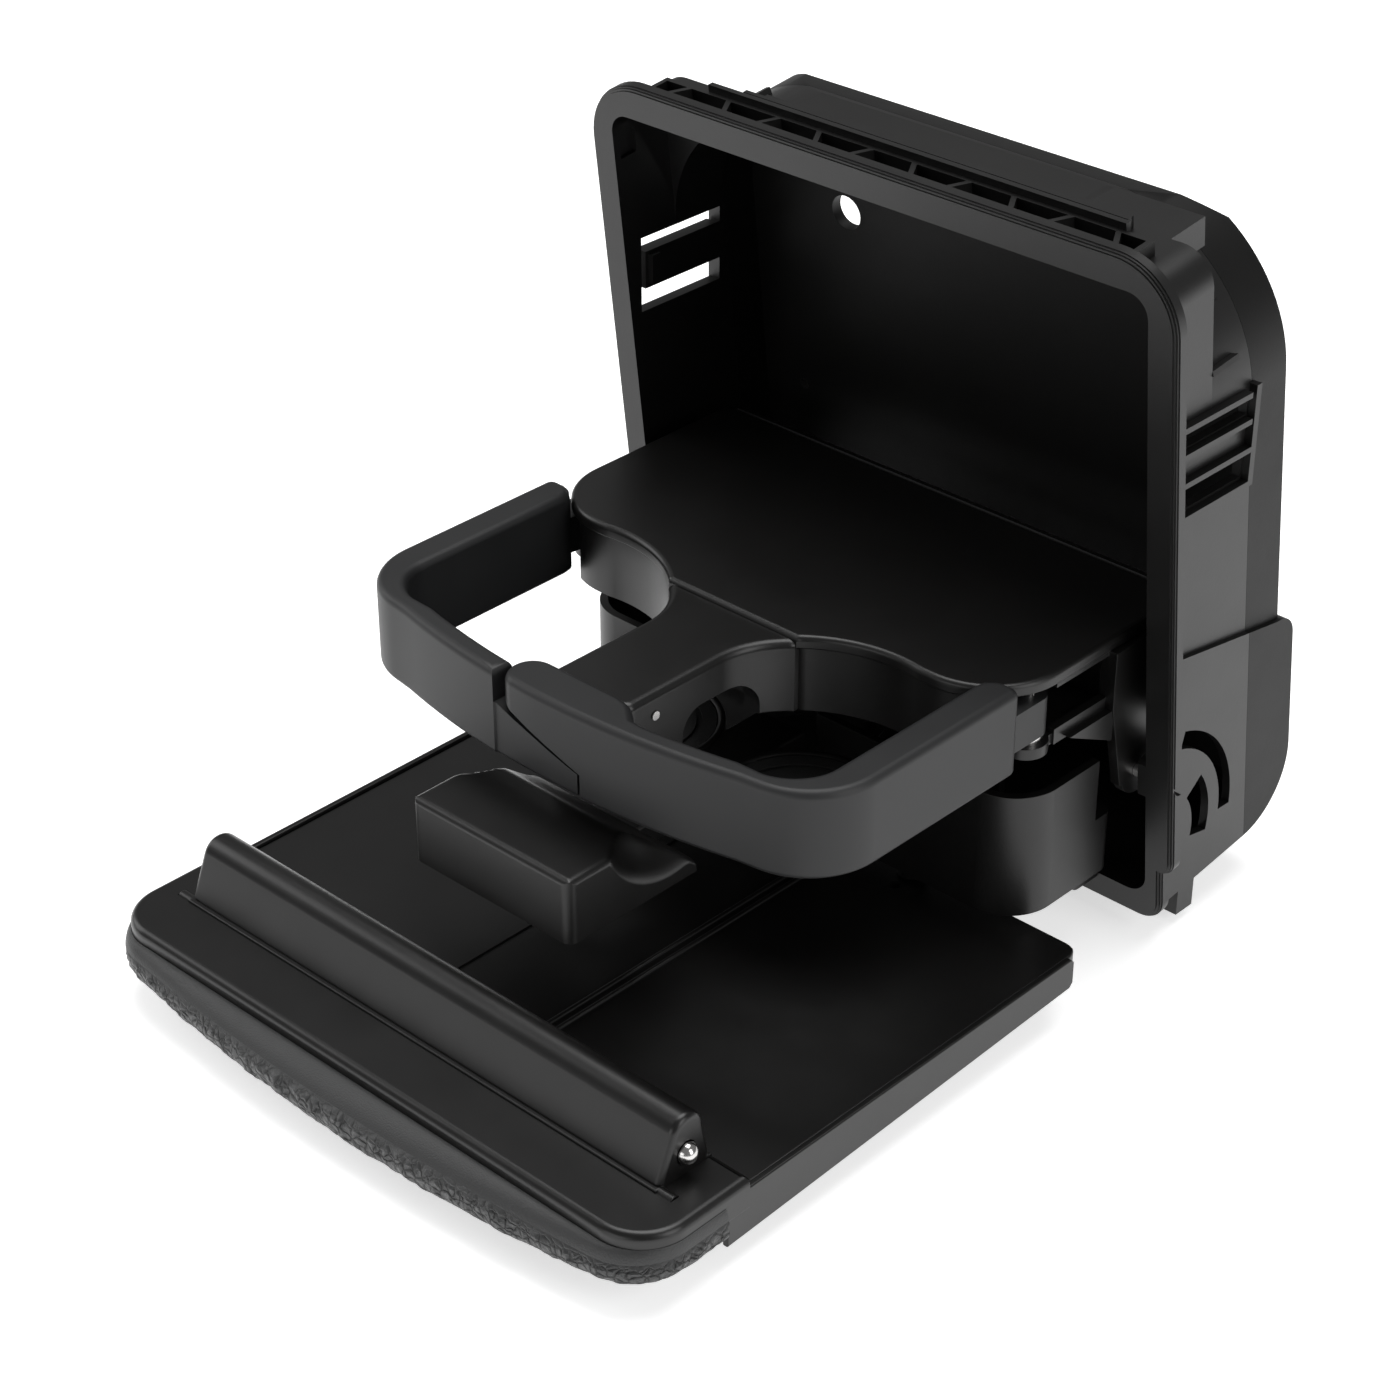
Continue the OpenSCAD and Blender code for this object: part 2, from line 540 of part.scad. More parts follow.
module floor_pad() translate([pad_x, -pad_y, rest_z + 2.25]) difference() {
    cylinder(h = 1.4, r = floor_r - 2.2, $fn = 96);
    translate([0, 0, 0.7]) difference() { cylinder(h = 2, r = floor_r - 6, $fn = 96); translate([0, 0, -1]) cylinder(h = 4, r = floor_r - 7.6, $fn = 96); }
}
module floor_pad_l() color([0.1, 0.1, 0.1]) place() mirror([1, 0, 0]) floor_pad();
module floor_pad_r() color([0.1, 0.1, 0.1]) place() floor_pad();

// ---- deck ----
// Plan of the deck with its two cup recesses, inset all round
module deck_plan(inset, rear) {
    hw = deck_w / 2 - inset;
    difference() {
        union() {
            translate([-hw, -35]) square([2 * hw, 35 + rear]);
            translate([22 - deck_w / 2, -57 + inset]) square([deck_w - 44, 40]);
            translate([5 - cup_x, -66 + inset]) square([2 * cup_x - 10, 40]);
            for (x = [-1, 1]) translate([x * (deck_w / 2 - 22), -35]) circle(22 - inset, $fn = 96);
        }
        for (x = [-1, 1]) translate([x * cup_x, -cup_y]) circle(cup_r + inset, $fn = 128);
    }
}
module deck_plate() color(c_pl) place() {
    translate([0, 0, deck_z - deck_t]) linear_extrude(deck_t) deck_plan(0, 18);
    // apron that curves down behind, about the pivot
    side(3.8 - deck_w / 2, deck_w - 7.6) translate(deck_p) ring_arc(apron_r - 2.6, apron_r, 46, 67.4);
}
// Side wing from the carrier down to the pivot
module wing() {
    side(cov_hw + 0.7, wing_hw - cov_hw - 0.7) {
        union() {
            translate(deck_p) circle(7);
            polygon([[deck_p[0] - 7.6, deck_p[1] - 2], [-car_back - 4.6, car_z + 2], [-car_back - 4.6, deck_z - deck_t - 0.2], [16, deck_z - deck_t - 0.2], [deck_p[0] + 7.8, deck_p[1]]]);
        }
    }
}
module deck_carrier() color(c_pl) place() difference() {
    union() {
        difference() {
            translate([0, 0, car_z]) linear_extrude(car_h - 0.05) deck_plan(0.8, -car_back);
            translate([0, 0, car_z + 2]) linear_extrude(car_h) deck_plan(0.8 + wall, -car_back - wall);
            // open underside behind the front wall
            translate([-60, -52, car_z - 1]) cube([120, 50, 10]);
            // side windows; the arms' tongues enter in front of them
            both() translate([arm_p[0] - 8, -34.5, car_z + 4.4]) cube([20, 21.5, 12]);
            both() translate([arm_p[0] - 8, -60, car_z - 1]) cube([20, 26, car_h + 2]);
        }
        // pillar and floor that hold each arm's pin
        both() translate([arm_p[0], arm_p[1], car_z]) cylinder(h = 3, r = 6);
        both() translate([arm_p[0] - 12, -47, car_z]) cube([8.5, 20, 3]);
        both() translate([arm_p[0] - 4.6, -37.5, car_z]) cube([8.4, 12, 3]);
        // lengthwise ribs under the plate
        for (x = [-52, -26, 0, 26, 52]) translate([x - 0.8, -54, car_z + 2]) cube([1.6, 54 - car_back - 1, car_h - 2.1]);
        both() wing();
        // gussets below the carrier's side
        both() side(cov_hw + 0.7, 2.2) polygon([[-30, car_z + 1], [-12, car_z + 1], [-12, car_z - 8], [-16, car_z - 6]]);
    }
    both() xpin(deck_p, 70, 40, deck_pin_r + run_c);
    both() translate([arm_p[0], arm_p[1], 0]) cylinder(h = 100, r = arm_pin_r + tip);
}
// Spine between the cups, with an arched opening in each side
module spine() color(c_pl) place() difference() {
    translate([-spine_hw, -spine_y, car_z]) cube([2 * spine_hw, spine_y - 66.4, deck_z - 1.4 - car_z]);
    translate([-spine_hw + wall, -spine_y + wall, car_z - 1]) cube([2 * spine_hw - 2 * wall, spine_y - 50, deck_z - 1.4 - car_z - wall + 1]);
    translate([-50, -98, car_z - 1]) cube([100, 25, 6]);
    side(-50, 100) { translate([-91, car_z + 3]) circle(7); translate([-80, car_z + 3]) circle(7); translate([-91, car_z + 3]) square([11, 7]); }
    xpin(spine_p, -50, 100, 1.2 + tip);
}
module spine_pin() color(c_steel) place() xpin(spine_p, -spine_hw - 0.4, 2 * spine_hw + 0.8, 1.2);

// ---- ring arms ----
// Plan of the pair's outer edge, half of it, drawn in by i
module arm_outer(i) intersection() {
    union() {
        translate([-40, -arm_y - 10]) square([40 + arm_hw - arm_r, arm_y - 40]);
        translate([0, -arm_y + 28]) square([arm_hw - i, arm_y - 28 - 50]);
        translate([arm_hw - arm_r, -arm_y + 28]) circle(arm_r - i, $fn = 128);
    }
    translate([0, -arm_y + arm_bow]) circle(arm_bow - i, $fn = 720);
}
module arm_inner() intersection() {
    union() {
        translate([-50, -arm_y]) square([50 + arm_hw - arm_t - 13, arm_y]);
        translate([-50, -arm_y + 25.5]) square([50 + arm_hw - arm_t, arm_y]);
        translate([arm_hw - arm_t - 13, -arm_y + 25.5]) circle(13, $fn = 96);
    }
    translate([0, -arm_y + arm_bow]) circle(arm_bow - arm_tf, $fn = 720);
}
// Right half ring, from x0 outwards
module arm_ring(x0, i) intersection() {
    difference() { arm_outer(i); arm_inner(); translate([deck_w / 2 - 22, -35]) circle(22 + leaf_c, $fn = 128); }
    translate([x0, -200]) square([200, 150]);
}
// Bar of an arm from height z by h, its upper outside edge eased in steps
module arm_bar(x0, z, h) {
    for (k = [[1, 0], [0.5, 0.134], [0.134, 0.5], [0, 1]])
        translate([0, 0, z]) linear_extrude(h - k[0] * arm_e) arm_ring(x0, k[1] * arm_e);
}
// Tongue that enters the carrier and turns on the pin
module arm_tongue() difference() {
    union() {
        translate([arm_p[0], arm_p[1], arm_z + 5]) cylinder(h = arm_h - 5 - 8.1, r = 5.2);
        translate([arm_p[0] - 3.6, arm_p[1] - 14, arm_z + 5]) cube([arm_hw - arm_p[0] + 2.4, 14, arm_h - 5 - 8.1]);
    }
    translate([arm_p[0], arm_p[1], 0]) cylinder(h = 100, r = arm_pin_r + run_c);
}
module arm_l() color(c_soft) place() mirror([1, 0, 0]) {
    arm_bar(lap / 2 + 4.5, arm_z, arm_h);
    // lower half of the lap
    translate([0, 0, arm_z]) linear_extrude(arm_h / 2 - 0.4) arm_ring(-10.4, 0);
    arm_tongue();
}
module arm_r() color(c_soft) place() {
    arm_bar(11.4, arm_z, arm_h);
    // nose, the upper half of the lap, wider towards the spine
    arm_bar(-lap / 2 - 0.4, lap_z, arm_h / 2);
    for (k = [[0, 1.3], [1.2, 0.4], [2.2, 0]]) translate([0, 0, lap_z]) linear_extrude(arm_h / 2 - k[0]) {
        translate([3 - lap / 2, 0.4 - arm_y + nose_r]) circle(nose_r - k[1]);
        translate([3 - lap / 2, 4 - arm_y]) square([40, spine_front_gap - k[1]]);
    }
    translate([11.4, 4 - arm_y, arm_z]) linear_extrude(arm_h - 1.2) square([16, spine_front_gap - 0.4]);
    arm_tongue();
}
module arm_pin_one() translate([arm_p[0], arm_p[1], arm_z]) cylinder(h = car_h - 0.1, r = arm_pin_r);
module arm_pin_l() color(c_steel) place() mirror([1, 0, 0]) arm_pin_one();
module arm_pin_r() color(c_steel) place() arm_pin_one();
module arm_spring_one() translate([arm_p[0], arm_p[1], arm_z + 3.05]) difference() { cylinder(h = 1.9, r = 4.4); translate([0, 0, -1]) cylinder(h = 5, r = arm_pin_r + 0.3); }
module arm_spring_l() color(c_steel) place() mirror([1, 0, 0]) arm_spring_one();
module arm_spring_r() color(c_steel) place() arm_spring_one();

housing();
rear_shell();
shell_screws();
door_pin_l();
door_pin_r();
deck_pin_l();
deck_pin_r();
door_panel();
door_pad();
door_skin();
lock_bar();
ball_spring_l();
ball_spring_r();
lower_cover();
cover_screws();
rest_pin();
ball_l();
ball_r();
cup_rest();
floor_pad_l();
floor_pad_r();
deck_plate();
deck_carrier();
spine();
spine_pin();
arm_pin_l();
arm_pin_r();
arm_spring_l();
arm_spring_r();
arm_l();
arm_r();
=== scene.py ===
"""Fold-out twin cup holder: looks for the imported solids.

Run as a script it dresses the frame, models the moulded and leather pieces
again with rolled edges, lights the holder and places the camera.
"""

import math

import bmesh
import bpy
from bpy.props import FloatProperty, FloatVectorProperty, IntProperty, PointerProperty
from mathutils import Matrix, Vector, noise


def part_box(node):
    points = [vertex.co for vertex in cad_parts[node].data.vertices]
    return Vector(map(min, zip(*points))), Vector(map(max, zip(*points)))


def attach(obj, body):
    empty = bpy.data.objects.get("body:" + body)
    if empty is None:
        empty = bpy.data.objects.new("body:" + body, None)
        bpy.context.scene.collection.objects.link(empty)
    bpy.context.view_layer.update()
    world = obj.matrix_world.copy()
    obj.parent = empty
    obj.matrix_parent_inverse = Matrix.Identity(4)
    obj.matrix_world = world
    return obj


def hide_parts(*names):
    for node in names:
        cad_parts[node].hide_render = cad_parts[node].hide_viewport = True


bl_info = {
    "name": "Twin cup holder",
    "version": (1, 0, 0),
    "blender": (4, 5, 0),
    "location": "3D View > Sidebar > Cup holder",
    "description": "Dresses a fold-out car cup holder with moulded plastic, leather and steel",
    "category": "Object",
}

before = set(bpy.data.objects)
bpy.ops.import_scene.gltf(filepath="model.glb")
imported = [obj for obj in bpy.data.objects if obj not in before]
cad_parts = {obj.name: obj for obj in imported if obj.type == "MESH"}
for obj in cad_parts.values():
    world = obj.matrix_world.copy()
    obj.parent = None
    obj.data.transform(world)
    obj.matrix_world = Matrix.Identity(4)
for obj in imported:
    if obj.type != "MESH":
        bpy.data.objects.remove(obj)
MM = 0.001

# The drawing's sizes in millimetres. Its zero lies on the door panel's face, in line with
# the bezel's face: y falls towards the door's front and z rises from the panel.
DOOR_LEN, PANEL_T = 197.0, 5.0
RIM_Y, RIM_H = -161.0, 3.5
BAR_Y, BAR_HW = -180.5, 83.0
PEG_Y, PEG_Z = BAR_Y + 1.6, RIM_H - 0.9
SCREW_X, SCREW_Y = 40.0, -46.0
REST_PIN = (-16, 16)

DOOR_LOW, DOOR_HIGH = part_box("door_panel")
ZERO = Vector((0.0, DOOR_LOW.y + DOOR_LEN * MM, DOOR_HIGH.z - RIM_H * MM))


def at(x, y, z):
    """A point given in the drawing's millimetres, in the row frame."""
    return Vector((x * MM, y * MM, z * MM)) + ZERO


def across(y, z, x):
    """The same for an outline drawn in the y-z plane and drawn out along x."""
    return at(x, y, z)


# ------------------------------------------------------------------ settings
class CupHolderArms(bpy.types.PropertyGroup):
    """Sizes of the two ring arms"""

    half_width: FloatProperty(
        name="Half width", description="From the middle to an arm's outer side",
        default=0.0803, unit="LENGTH")
    reach: FloatProperty(
        name="Reach", description="From the deck pivot to the arms' front",
        default=0.132, unit="LENGTH")
    side_thickness: FloatProperty(
        name="Side thickness", description="Thickness of an arm's side, seen from above",
        default=0.0103, unit="LENGTH")
    front_thickness: FloatProperty(
        name="Front thickness", description="Thickness of an arm's front, seen from above",
        default=0.0068, unit="LENGTH")
    edge: FloatProperty(
        name="Edge radius", description="Radius of the moulded edges",
        default=0.0022, unit="LENGTH")


class CupHolderCover(bpy.types.PropertyGroup):
    """The leather-covered outside of the door"""

    crown: FloatProperty(
        name="Crown", description="How far the cover bulges beyond the rim at the front",
        default=0.0078, unit="LENGTH")
    depth: FloatProperty(
        name="Depth", description="Depth of the padded cover under the panel, at the middle",
        default=0.0138, unit="LENGTH")
    wrinkle: FloatProperty(
        name="Wrinkle height", description="Height of the leather's wrinkles",
        default=0.0009, unit="LENGTH")
    columns: IntProperty(name="Columns", description="Points round the cover", default=1000, min=100)
    rings: IntProperty(name="Rings", description="Points from the rim to the middle", default=64, min=12)


class CupHolderFinish(bpy.types.PropertyGroup):
    """Colours of the materials"""

    plastic: FloatVectorProperty(
        name="Moulded plastic", description="Colour of the housing and door",
        default=(0.0062, 0.0059, 0.0057), subtype="COLOR", size=3)
    soft: FloatVectorProperty(
        name="Soft-touch plastic", description="Colour of the ring arms",
        default=(0.0150, 0.0152, 0.0158), subtype="COLOR", size=3)
    leather: FloatVectorProperty(
        name="Leather", description="Colour of the door's cover",
        default=(0.0400, 0.0405, 0.0410), subtype="COLOR", size=3)
    steel: FloatVectorProperty(
        name="Steel", description="Colour of the balls, pins and screws",
        default=(0.62, 0.61, 0.60), subtype="COLOR", size=3)


# ------------------------------------------------------------ shader helpers
class Sock:
    """A socket that adds Math nodes when it is used in an expression."""

    def __init__(self, board, socket):
        self.board, self.socket = board, socket

    def _math(self, op, a, b):
        return self.board.add("ShaderNodeMath", {"operation": op}, {0: a, 1: b})[0]

    def __add__(self, o): return self._math("ADD", self, o)
    def __radd__(self, o): return self._math("ADD", o, self)
    def __sub__(self, o): return self._math("SUBTRACT", self, o)
    def __rsub__(self, o): return self._math("SUBTRACT", o, self)
    def __mul__(self, o): return self._math("MULTIPLY", self, o)
    def __rmul__(self, o): return self._math("MULTIPLY", o, self)
    def __truediv__(self, o): return self._math("DIVIDE", self, o)
    def __rtruediv__(self, o): return self._math("DIVIDE", o, self)
    def low(self, o): return self._math("MINIMUM", self, o)
    def high(self, o): return self._math("MAXIMUM", self, o)


class Board:
    """The nodes of one material, or of the world."""

    SOCKETS = {"color": "Base Color", "rough": "Roughness", "metal": "Metallic",
               "normal": "Normal", "spec": "Specular IOR Level"}

    def __init__(self, owner):
        self.owner = owner
        owner.use_nodes = True
        self.tree = owner.node_tree
        self.tree.nodes.clear()

    def add(self, kind, settings=None, inputs=None):
        """Adds a node: its settings first, then its sockets' values or links. Returns its outputs."""
        node = self.tree.nodes.new(kind)
        for key, value in (settings or {}).items():
            if key == "stops":
                ramp = node.color_ramp
                while len(ramp.elements) > len(value):
                    ramp.elements.remove(ramp.elements[-1])
                while len(ramp.elements) < len(value):
                    ramp.elements.new(1.0)
                for stop, (pos, grey) in zip(ramp.elements, value):
                    stop.position = pos
                    stop.color = (grey, grey, grey, 1.0)
            else:
                setattr(node, key, value)
        for key, value in (inputs or {}).items():
            if isinstance(value, Sock):
                self.tree.links.new(value.socket, node.inputs[key])
            else:
                node.inputs[key].default_value = value
        return [Sock(self, s) for s in node.outputs]

    def place(self):
        """Position on the object, in metres."""
        return self.add("ShaderNodeTexCoord")[3]

    def noise(self, scale, detail, rough, place=None, output=0):
        """Cloudy noise: output 0 is its value and 1 its colour."""
        return self.add("ShaderNodeTexNoise", {"noise_dimensions": "3D"},
                        {"Vector": place or self.place(), "Scale": scale,
                         "Detail": detail, "Roughness": rough})[output]

    def ramp(self, value, stops):
        """A grey ramp over a value, from (position, grey) stops."""
        return self.add("ShaderNodeValToRGB", {"stops": stops}, {0: value})[0]

    def tint(self, mask, a, b):
        """Colour a where mask is 0 and b where it is 1."""
        return self.add("ShaderNodeMix", {"data_type": "RGBA"}, {0: mask, 6: (*a, 1.0), 7: (*b, 1.0)})[2]

    def bump(self, height, strength, distance):
        """A normal bent by a height, whose full step is distance in metres."""
        return self.add("ShaderNodeBump", None, {"Height": height, "Strength": strength, "Distance": distance})[0]

    def finish(self, **ins):
        """Ends a material in its shader, whose sockets are named as in SOCKETS."""
        shader = self.add("ShaderNodeBsdfPrincipled", None, {self.SOCKETS[k]: v for k, v in ins.items()})[0]
        self.add("ShaderNodeOutputMaterial", None, {0: shader})
        return self.owner


def new_board(name):
    """The board of a new material."""
    return Board(bpy.data.materials.new(name))


def shade(colour, k):
    """A colour k times as bright."""
    return tuple(c * k for c in colour)


def moulded_plastic(name, colour, rough, grain, gloss=0.5):
    """Injection-moulded plastic: fine spark-eroded grain, faint flow marks and handling smears."""
    b = new_board(name)
    fine = b.noise(2600.0, 3.0, 0.6)
    flow = b.noise(22.0, 3.0, 0.55)
    smear = b.noise(60.0, 5.0, 0.7)
    mask = b.ramp(flow, [(0.32, 0.0), (0.72, 1.0)])
    height = fine * 0.6 + b.noise(900.0, 2.0, 0.5) * 0.4
    return b.finish(
        color=b.tint(mask, shade(colour, 0.86), shade(colour, 1.22)),
        rough=(rough - 0.05) + smear * 0.10 + fine * 0.04,
        normal=b.bump(height, grain, 0.00012), spec=gloss)


def soft_touch(name, colour):
    """Soft-touch paint over plastic: neutral, even, a little velvety."""
    b = new_board(name)
    fine = b.noise(3800.0, 2.0, 0.5)
    cloud = b.noise(35.0, 4.0, 0.6)
    mask = b.ramp(cloud, [(0.35, 0.0), (0.7, 1.0)])
    return b.finish(
        color=b.tint(mask, shade(colour, 0.92), shade(colour, 1.10)),
        rough=0.43 + cloud * 0.08, normal=b.bump(fine, 0.16, 0.00008), spec=0.42)


def grained_leather(name, colour, top):
    """Pebbled leather: creased cells, painted darker in the creases as shade and paler on the ridges as a painted
    highlight, smooth along its edge, whose height is top.
    """
    b = new_board(name)
    place = b.place()
    warp = b.noise(140.0, 3.0, 0.6, place)
    shift = b.noise(90.0, 3.0, 0.6, place, output=1)
    bent = b.add("ShaderNodeVectorMath", {"operation": "MULTIPLY_ADD"},
                 {0: shift, 1: (0.006, 0.006, 0.006), 2: place})[0]
    cells = b.add("ShaderNodeTexVoronoi", {"feature": "DISTANCE_TO_EDGE"},
                  {"Vector": bent, "Scale": 400.0, "Randomness": 1.0})[0]
    pebbles = b.ramp(cells, [(0.0, 0.0), (0.10, 0.6), (0.34, 1.0)])
    folds = b.noise(260.0, 4.0, 0.62, place)
    up = b.add("ShaderNodeSeparateXYZ", None, {0: place})[2]
    under = ((top - up) * 420.0 - 0.9).high(0.0).low(1.0)
    height = (pebbles * 0.55 + folds * 0.6 + warp * 0.3) * under + b.noise(2400.0, 2.0, 0.5, place) * 0.08
    # painted shade and highlight: the colour darkens in the cells' creases and pales on their ridges, with cloudy
    # tone from the folds; the smooth band along the edge keeps one tone
    mask = (pebbles * 0.7 + folds * 0.3) * under + 0.35 * (1 - under)
    return b.finish(
        # the dark end of this tint is the painted shade in the creases, the pale end the painted highlight on the
        # ridges
        color=b.tint(mask, shade(colour, 0.22), shade(colour, 1.9)),
        rough=0.44 - pebbles * under * 0.14 + warp * 0.06,
        normal=b.bump(height, 1.0, 0.0016), spec=0.5)


def bright_steel(name, colour):
    """Bearing steel: polished, with faint handling marks."""
    b = new_board(name)
    marks = b.noise(1500.0, 3.0, 0.5)
    return b.finish(color=b.tint(marks, shade(colour, 0.92), shade(colour, 1.05)), metal=1.0,
                    rough=0.13 + marks * 0.10, normal=b.bump(marks, 0.05, 0.00005))


def pad_rubber(name):
    """Matt black rubber."""
    b = new_board(name)
    fine = b.noise(1800.0, 2.0, 0.5)
    return b.finish(color=b.tint(fine, (0.010, 0.010, 0.010), (0.018, 0.018, 0.018)),
                    rough=0.6 + fine * 0.1, normal=b.bump(fine, 0.3, 0.0002), spec=0.35)


def pad_foam(name):
    """Grey open-cell foam."""
    b = new_board(name)
    cells = b.add("ShaderNodeTexVoronoi", {"feature": "F1"}, {"Vector": b.place(), "Scale": 900.0})[0]
    return b.finish(color=b.tint(cells, (0.09, 0.09, 0.088), (0.16, 0.16, 0.155)),
                    rough=0.9, normal=b.bump(cells, 0.5, 0.0004))


MATERIALS = {}


def material(name):
    """A finish by its short name; each one is made once."""
    if name not in MATERIALS:
        f = bpy.context.scene.cup_holder_finish
        plastic = tuple(f.plastic)
        edge_height = ZERO.z - 1.5 * MM
        make = {
            # tub and shell: darker copies of the moulded plastic, painted shade for the tub and its rear, where
            # little light falls
            "tub": lambda: moulded_plastic("tub_plastic_painted_shade", shade(plastic, 0.62), 0.37, 0.20),
            "shell": lambda: moulded_plastic("shell_plastic_painted_shade", shade(plastic, 0.5), 0.46, 0.25, 0.24),
            "door": lambda: moulded_plastic("door_plastic", shade(plastic, 0.62), 0.30, 0.10),
            "rest": lambda: moulded_plastic("rest_plastic", shade(plastic, 0.7), 0.31, 0.12),
            "deck": lambda: moulded_plastic("deck_plastic", shade(plastic, 0.8), 0.33, 0.12),
            "soft": lambda: soft_touch("arm_soft_touch", tuple(f.soft)),
            "leather": lambda: grained_leather("door_leather", tuple(f.leather), edge_height),
            "steel": lambda: bright_steel("bright_steel", tuple(f.steel)),
            "rubber": lambda: pad_rubber("floor_rubber"),
            "foam": lambda: pad_foam("door_foam"),
        }
        MATERIALS[name] = make[name]()
    return MATERIALS[name]


# ------------------------------------------------------------ outlines
def arc(cx, cy, r, a0, a1, n):
    """Points of an arc in n steps, from angle a0 to a1 in degrees."""
    turns = [math.radians(a0 + (a1 - a0) * i / n) for i in range(n + 1)]
    return [(cx + r * math.cos(t), cy + r * math.sin(t)) for t in turns]


def circle(cx, cy, r, n=24):
    """Outline of a round bar or hole, with n points."""
    return arc(cx, cy, r, 0, 360 - 360 / n, n - 1)


def block(x0, x1, y0, y1):
    """Outline of a rectangle."""
    return [(x0, y0), (x1, y0), (x1, y1), (x0, y1)]


def mirrored(half):
    """Adds the mirror image of a right half outline."""
    return half + [(-x, y) for x, y in reversed(half)]


def tidy(points, gap=0.05):
    """Leaves out points that lie within gap of the one before."""
    out = []
    for p in points:
        if not out or math.dist(p, out[-1]) > gap:
            out.append(p)
    if math.dist(out[0], out[-1]) <= gap:
        out.pop()
    return out


def miters(outline):
    """For each corner of a counter-clockwise outline, the step inwards that draws both sides in by one."""
    out = []
    n = len(outline)
    for i in range(n):
        a, p, b = Vector(outline[i - 1]), Vector(outline[i]), Vector(outline[(i + 1) % n])
        d0, d1 = (p - a).normalized(), (b - p).normalized()
        n0, n1 = Vector((-d0.y, d0.x)), Vector((-d1.y, d1.x))
        m = n0 + n1
        out.append(m / max(m.dot(n0), 0.35))
    return out


def rounded_levels(z_edge, radius, sign, steps=6):
    """Heights and insets of an edge's roll; sign is +1 for an upper edge."""
    turns = [math.pi / 2 * i / steps for i in range(steps + 1)]
    return [(z_edge - sign * radius * (1 - math.sin(t)), radius * (1 - math.cos(t))) for t in turns]


def even_loop(path, n):
    """Puts n points at even spacing on a closed path. Returns them and their outward directions."""
    closed = path + [path[0]]
    lengths = [0.0]
    for p, q in zip(closed, closed[1:]):
        lengths.append(lengths[-1] + math.dist(p, q))
    loop, k = [], 0
    for i in range(n):
        s = lengths[-1] * i / n
        while lengths[k + 1] < s:
            k += 1
        u = (s - lengths[k]) / max(lengths[k + 1] - lengths[k], 1e-9)
        p, q = closed[k], closed[k + 1]
        loop.append((p[0] + (q[0] - p[0]) * u, p[1] + (q[1] - p[1]) * u))
    normals = []
    for i in range(n):
        p, q = loop[i - 3], loop[(i + 3) % n]
        d = math.dist(p, q)
        normals.append(((p[1] - q[1]) / d, (q[0] - p[0]) / d))
    return loop, normals


# -------------------------------------------------------------- mesh helpers
def wall(bm, rings):
    """Joins rings of vertices with quads."""
    for a, b in zip(rings, rings[1:]):
        n = len(a)
        for i in range(n):
            j = (i + 1) % n
            bm.faces.new((a[i], a[j], b[j], b[i]))


def closed_wall(bm, rings):
    """The same, with a face on the first and the last ring."""
    wall(bm, rings)
    bm.faces.new(list(reversed(rings[0])))
    bm.faces.new(rings[-1])


def ring_at(bm, outline, steps, z, inset, place=at):
    """Ring of vertices at one height, or at a height that changes with x."""
    level = z if callable(z) else lambda x: z
    return [bm.verts.new(place(x + m.x * inset, y + m.y * inset, level(x))) for (x, y), m in zip(outline, steps)]


def loose(name, bm):
    """Puts a bmesh in the scene as a plain object."""
    bmesh.ops.recalc_face_normals(bm, faces=bm.faces)
    mesh = bpy.data.meshes.new(name)
    bm.to_mesh(mesh)
    bm.free()
    obj = bpy.data.objects.new(name, mesh)
    bpy.context.scene.collection.objects.link(obj)
    return obj


def rough_solid(name, outline, z0, z1, place=at):
    """Prism with sharp edges over an outline."""
    bm = bmesh.new()
    outline = tidy(outline)
    low = [bm.verts.new(place(x, y, z0)) for x, y in outline]
    high = [bm.verts.new(place(x, y, z1)) for x, y in outline]
    bm.faces.new(list(reversed(low)))
    bm.faces.new(high)
    wall(bm, [low, high])
    return loose(name, bm)


def soft_solid(name, outline, z0, z1, r0, r1, place=at):
    """Prism whose lower and upper edges roll over with radii r0 and r1."""
    bm = bmesh.new()
    outline = tidy(outline)
    steps = miters(outline)
    levels = list(reversed(rounded_levels(z0, r0, -1))) + rounded_levels(z1, r1, 1)
    closed_wall(bm, [ring_at(bm, outline, steps, z, inset, place) for z, inset in levels])
    return loose(name, bm)


def lapped_solid(name, outline, shelf, z0, mid, z1, r0, r1):
    """Soft prism from mid to z1, carried on from mid to z0 except over the outline points named by shelf."""
    bm = bmesh.new()
    steps, up = miters(outline), (1 if z1 > z0 else -1)
    n = len(outline)
    upper = [ring_at(bm, outline, steps, z, inset) for z, inset in [(mid, 0.0)] + rounded_levels(z1, r1, up)]
    wall(bm, upper)
    bm.faces.new(upper[-1])
    keep = [i for i in range(n) if i not in shelf]
    first = next(k for k, i in enumerate(keep) if (i - 1) % n in shelf)
    keep = keep[first:] + keep[:first]
    low_outline = [outline[i] for i in keep]
    low_steps = miters(low_outline)
    lower = [[upper[0][i] for i in keep]]
    lower += [ring_at(bm, low_outline, low_steps, z, inset) for z, inset in rounded_levels(z0, r0, -up)]
    wall(bm, lower)
    bm.faces.new(list(reversed(lower[-1])))
    cut = [(keep[-1] + k) % n for k in range(len(shelf) + 2)]
    bm.faces.new([upper[0][i] for i in reversed(cut)])
    return loose(name, bm)


def turned(name, cx, cy, profile, n=96):
    """Solid of revolution about an upright axis; profile holds (radius, height) from axis to axis."""
    bm = bmesh.new()
    turns = [math.tau * i / n for i in range(n)]
    closed_wall(bm, [[bm.verts.new(at(cx + r * math.cos(t), cy + r * math.sin(t), z)) for t in turns]
                     for r, z in profile])
    return loose(name, bm)


def mirror(obj):
    """Turns a piece into its mirror image across the middle plane."""
    obj.data.transform(Matrix.Scale(-1, 4, Vector((1, 0, 0))))
    obj.data.flip_normals()
    return obj


def add_modifier(obj, kind, **settings):
    """Adds a modifier with its settings."""
    m = obj.modifiers.new(kind.title(), kind)
    for k, v in settings.items():
        setattr(m, k, v)


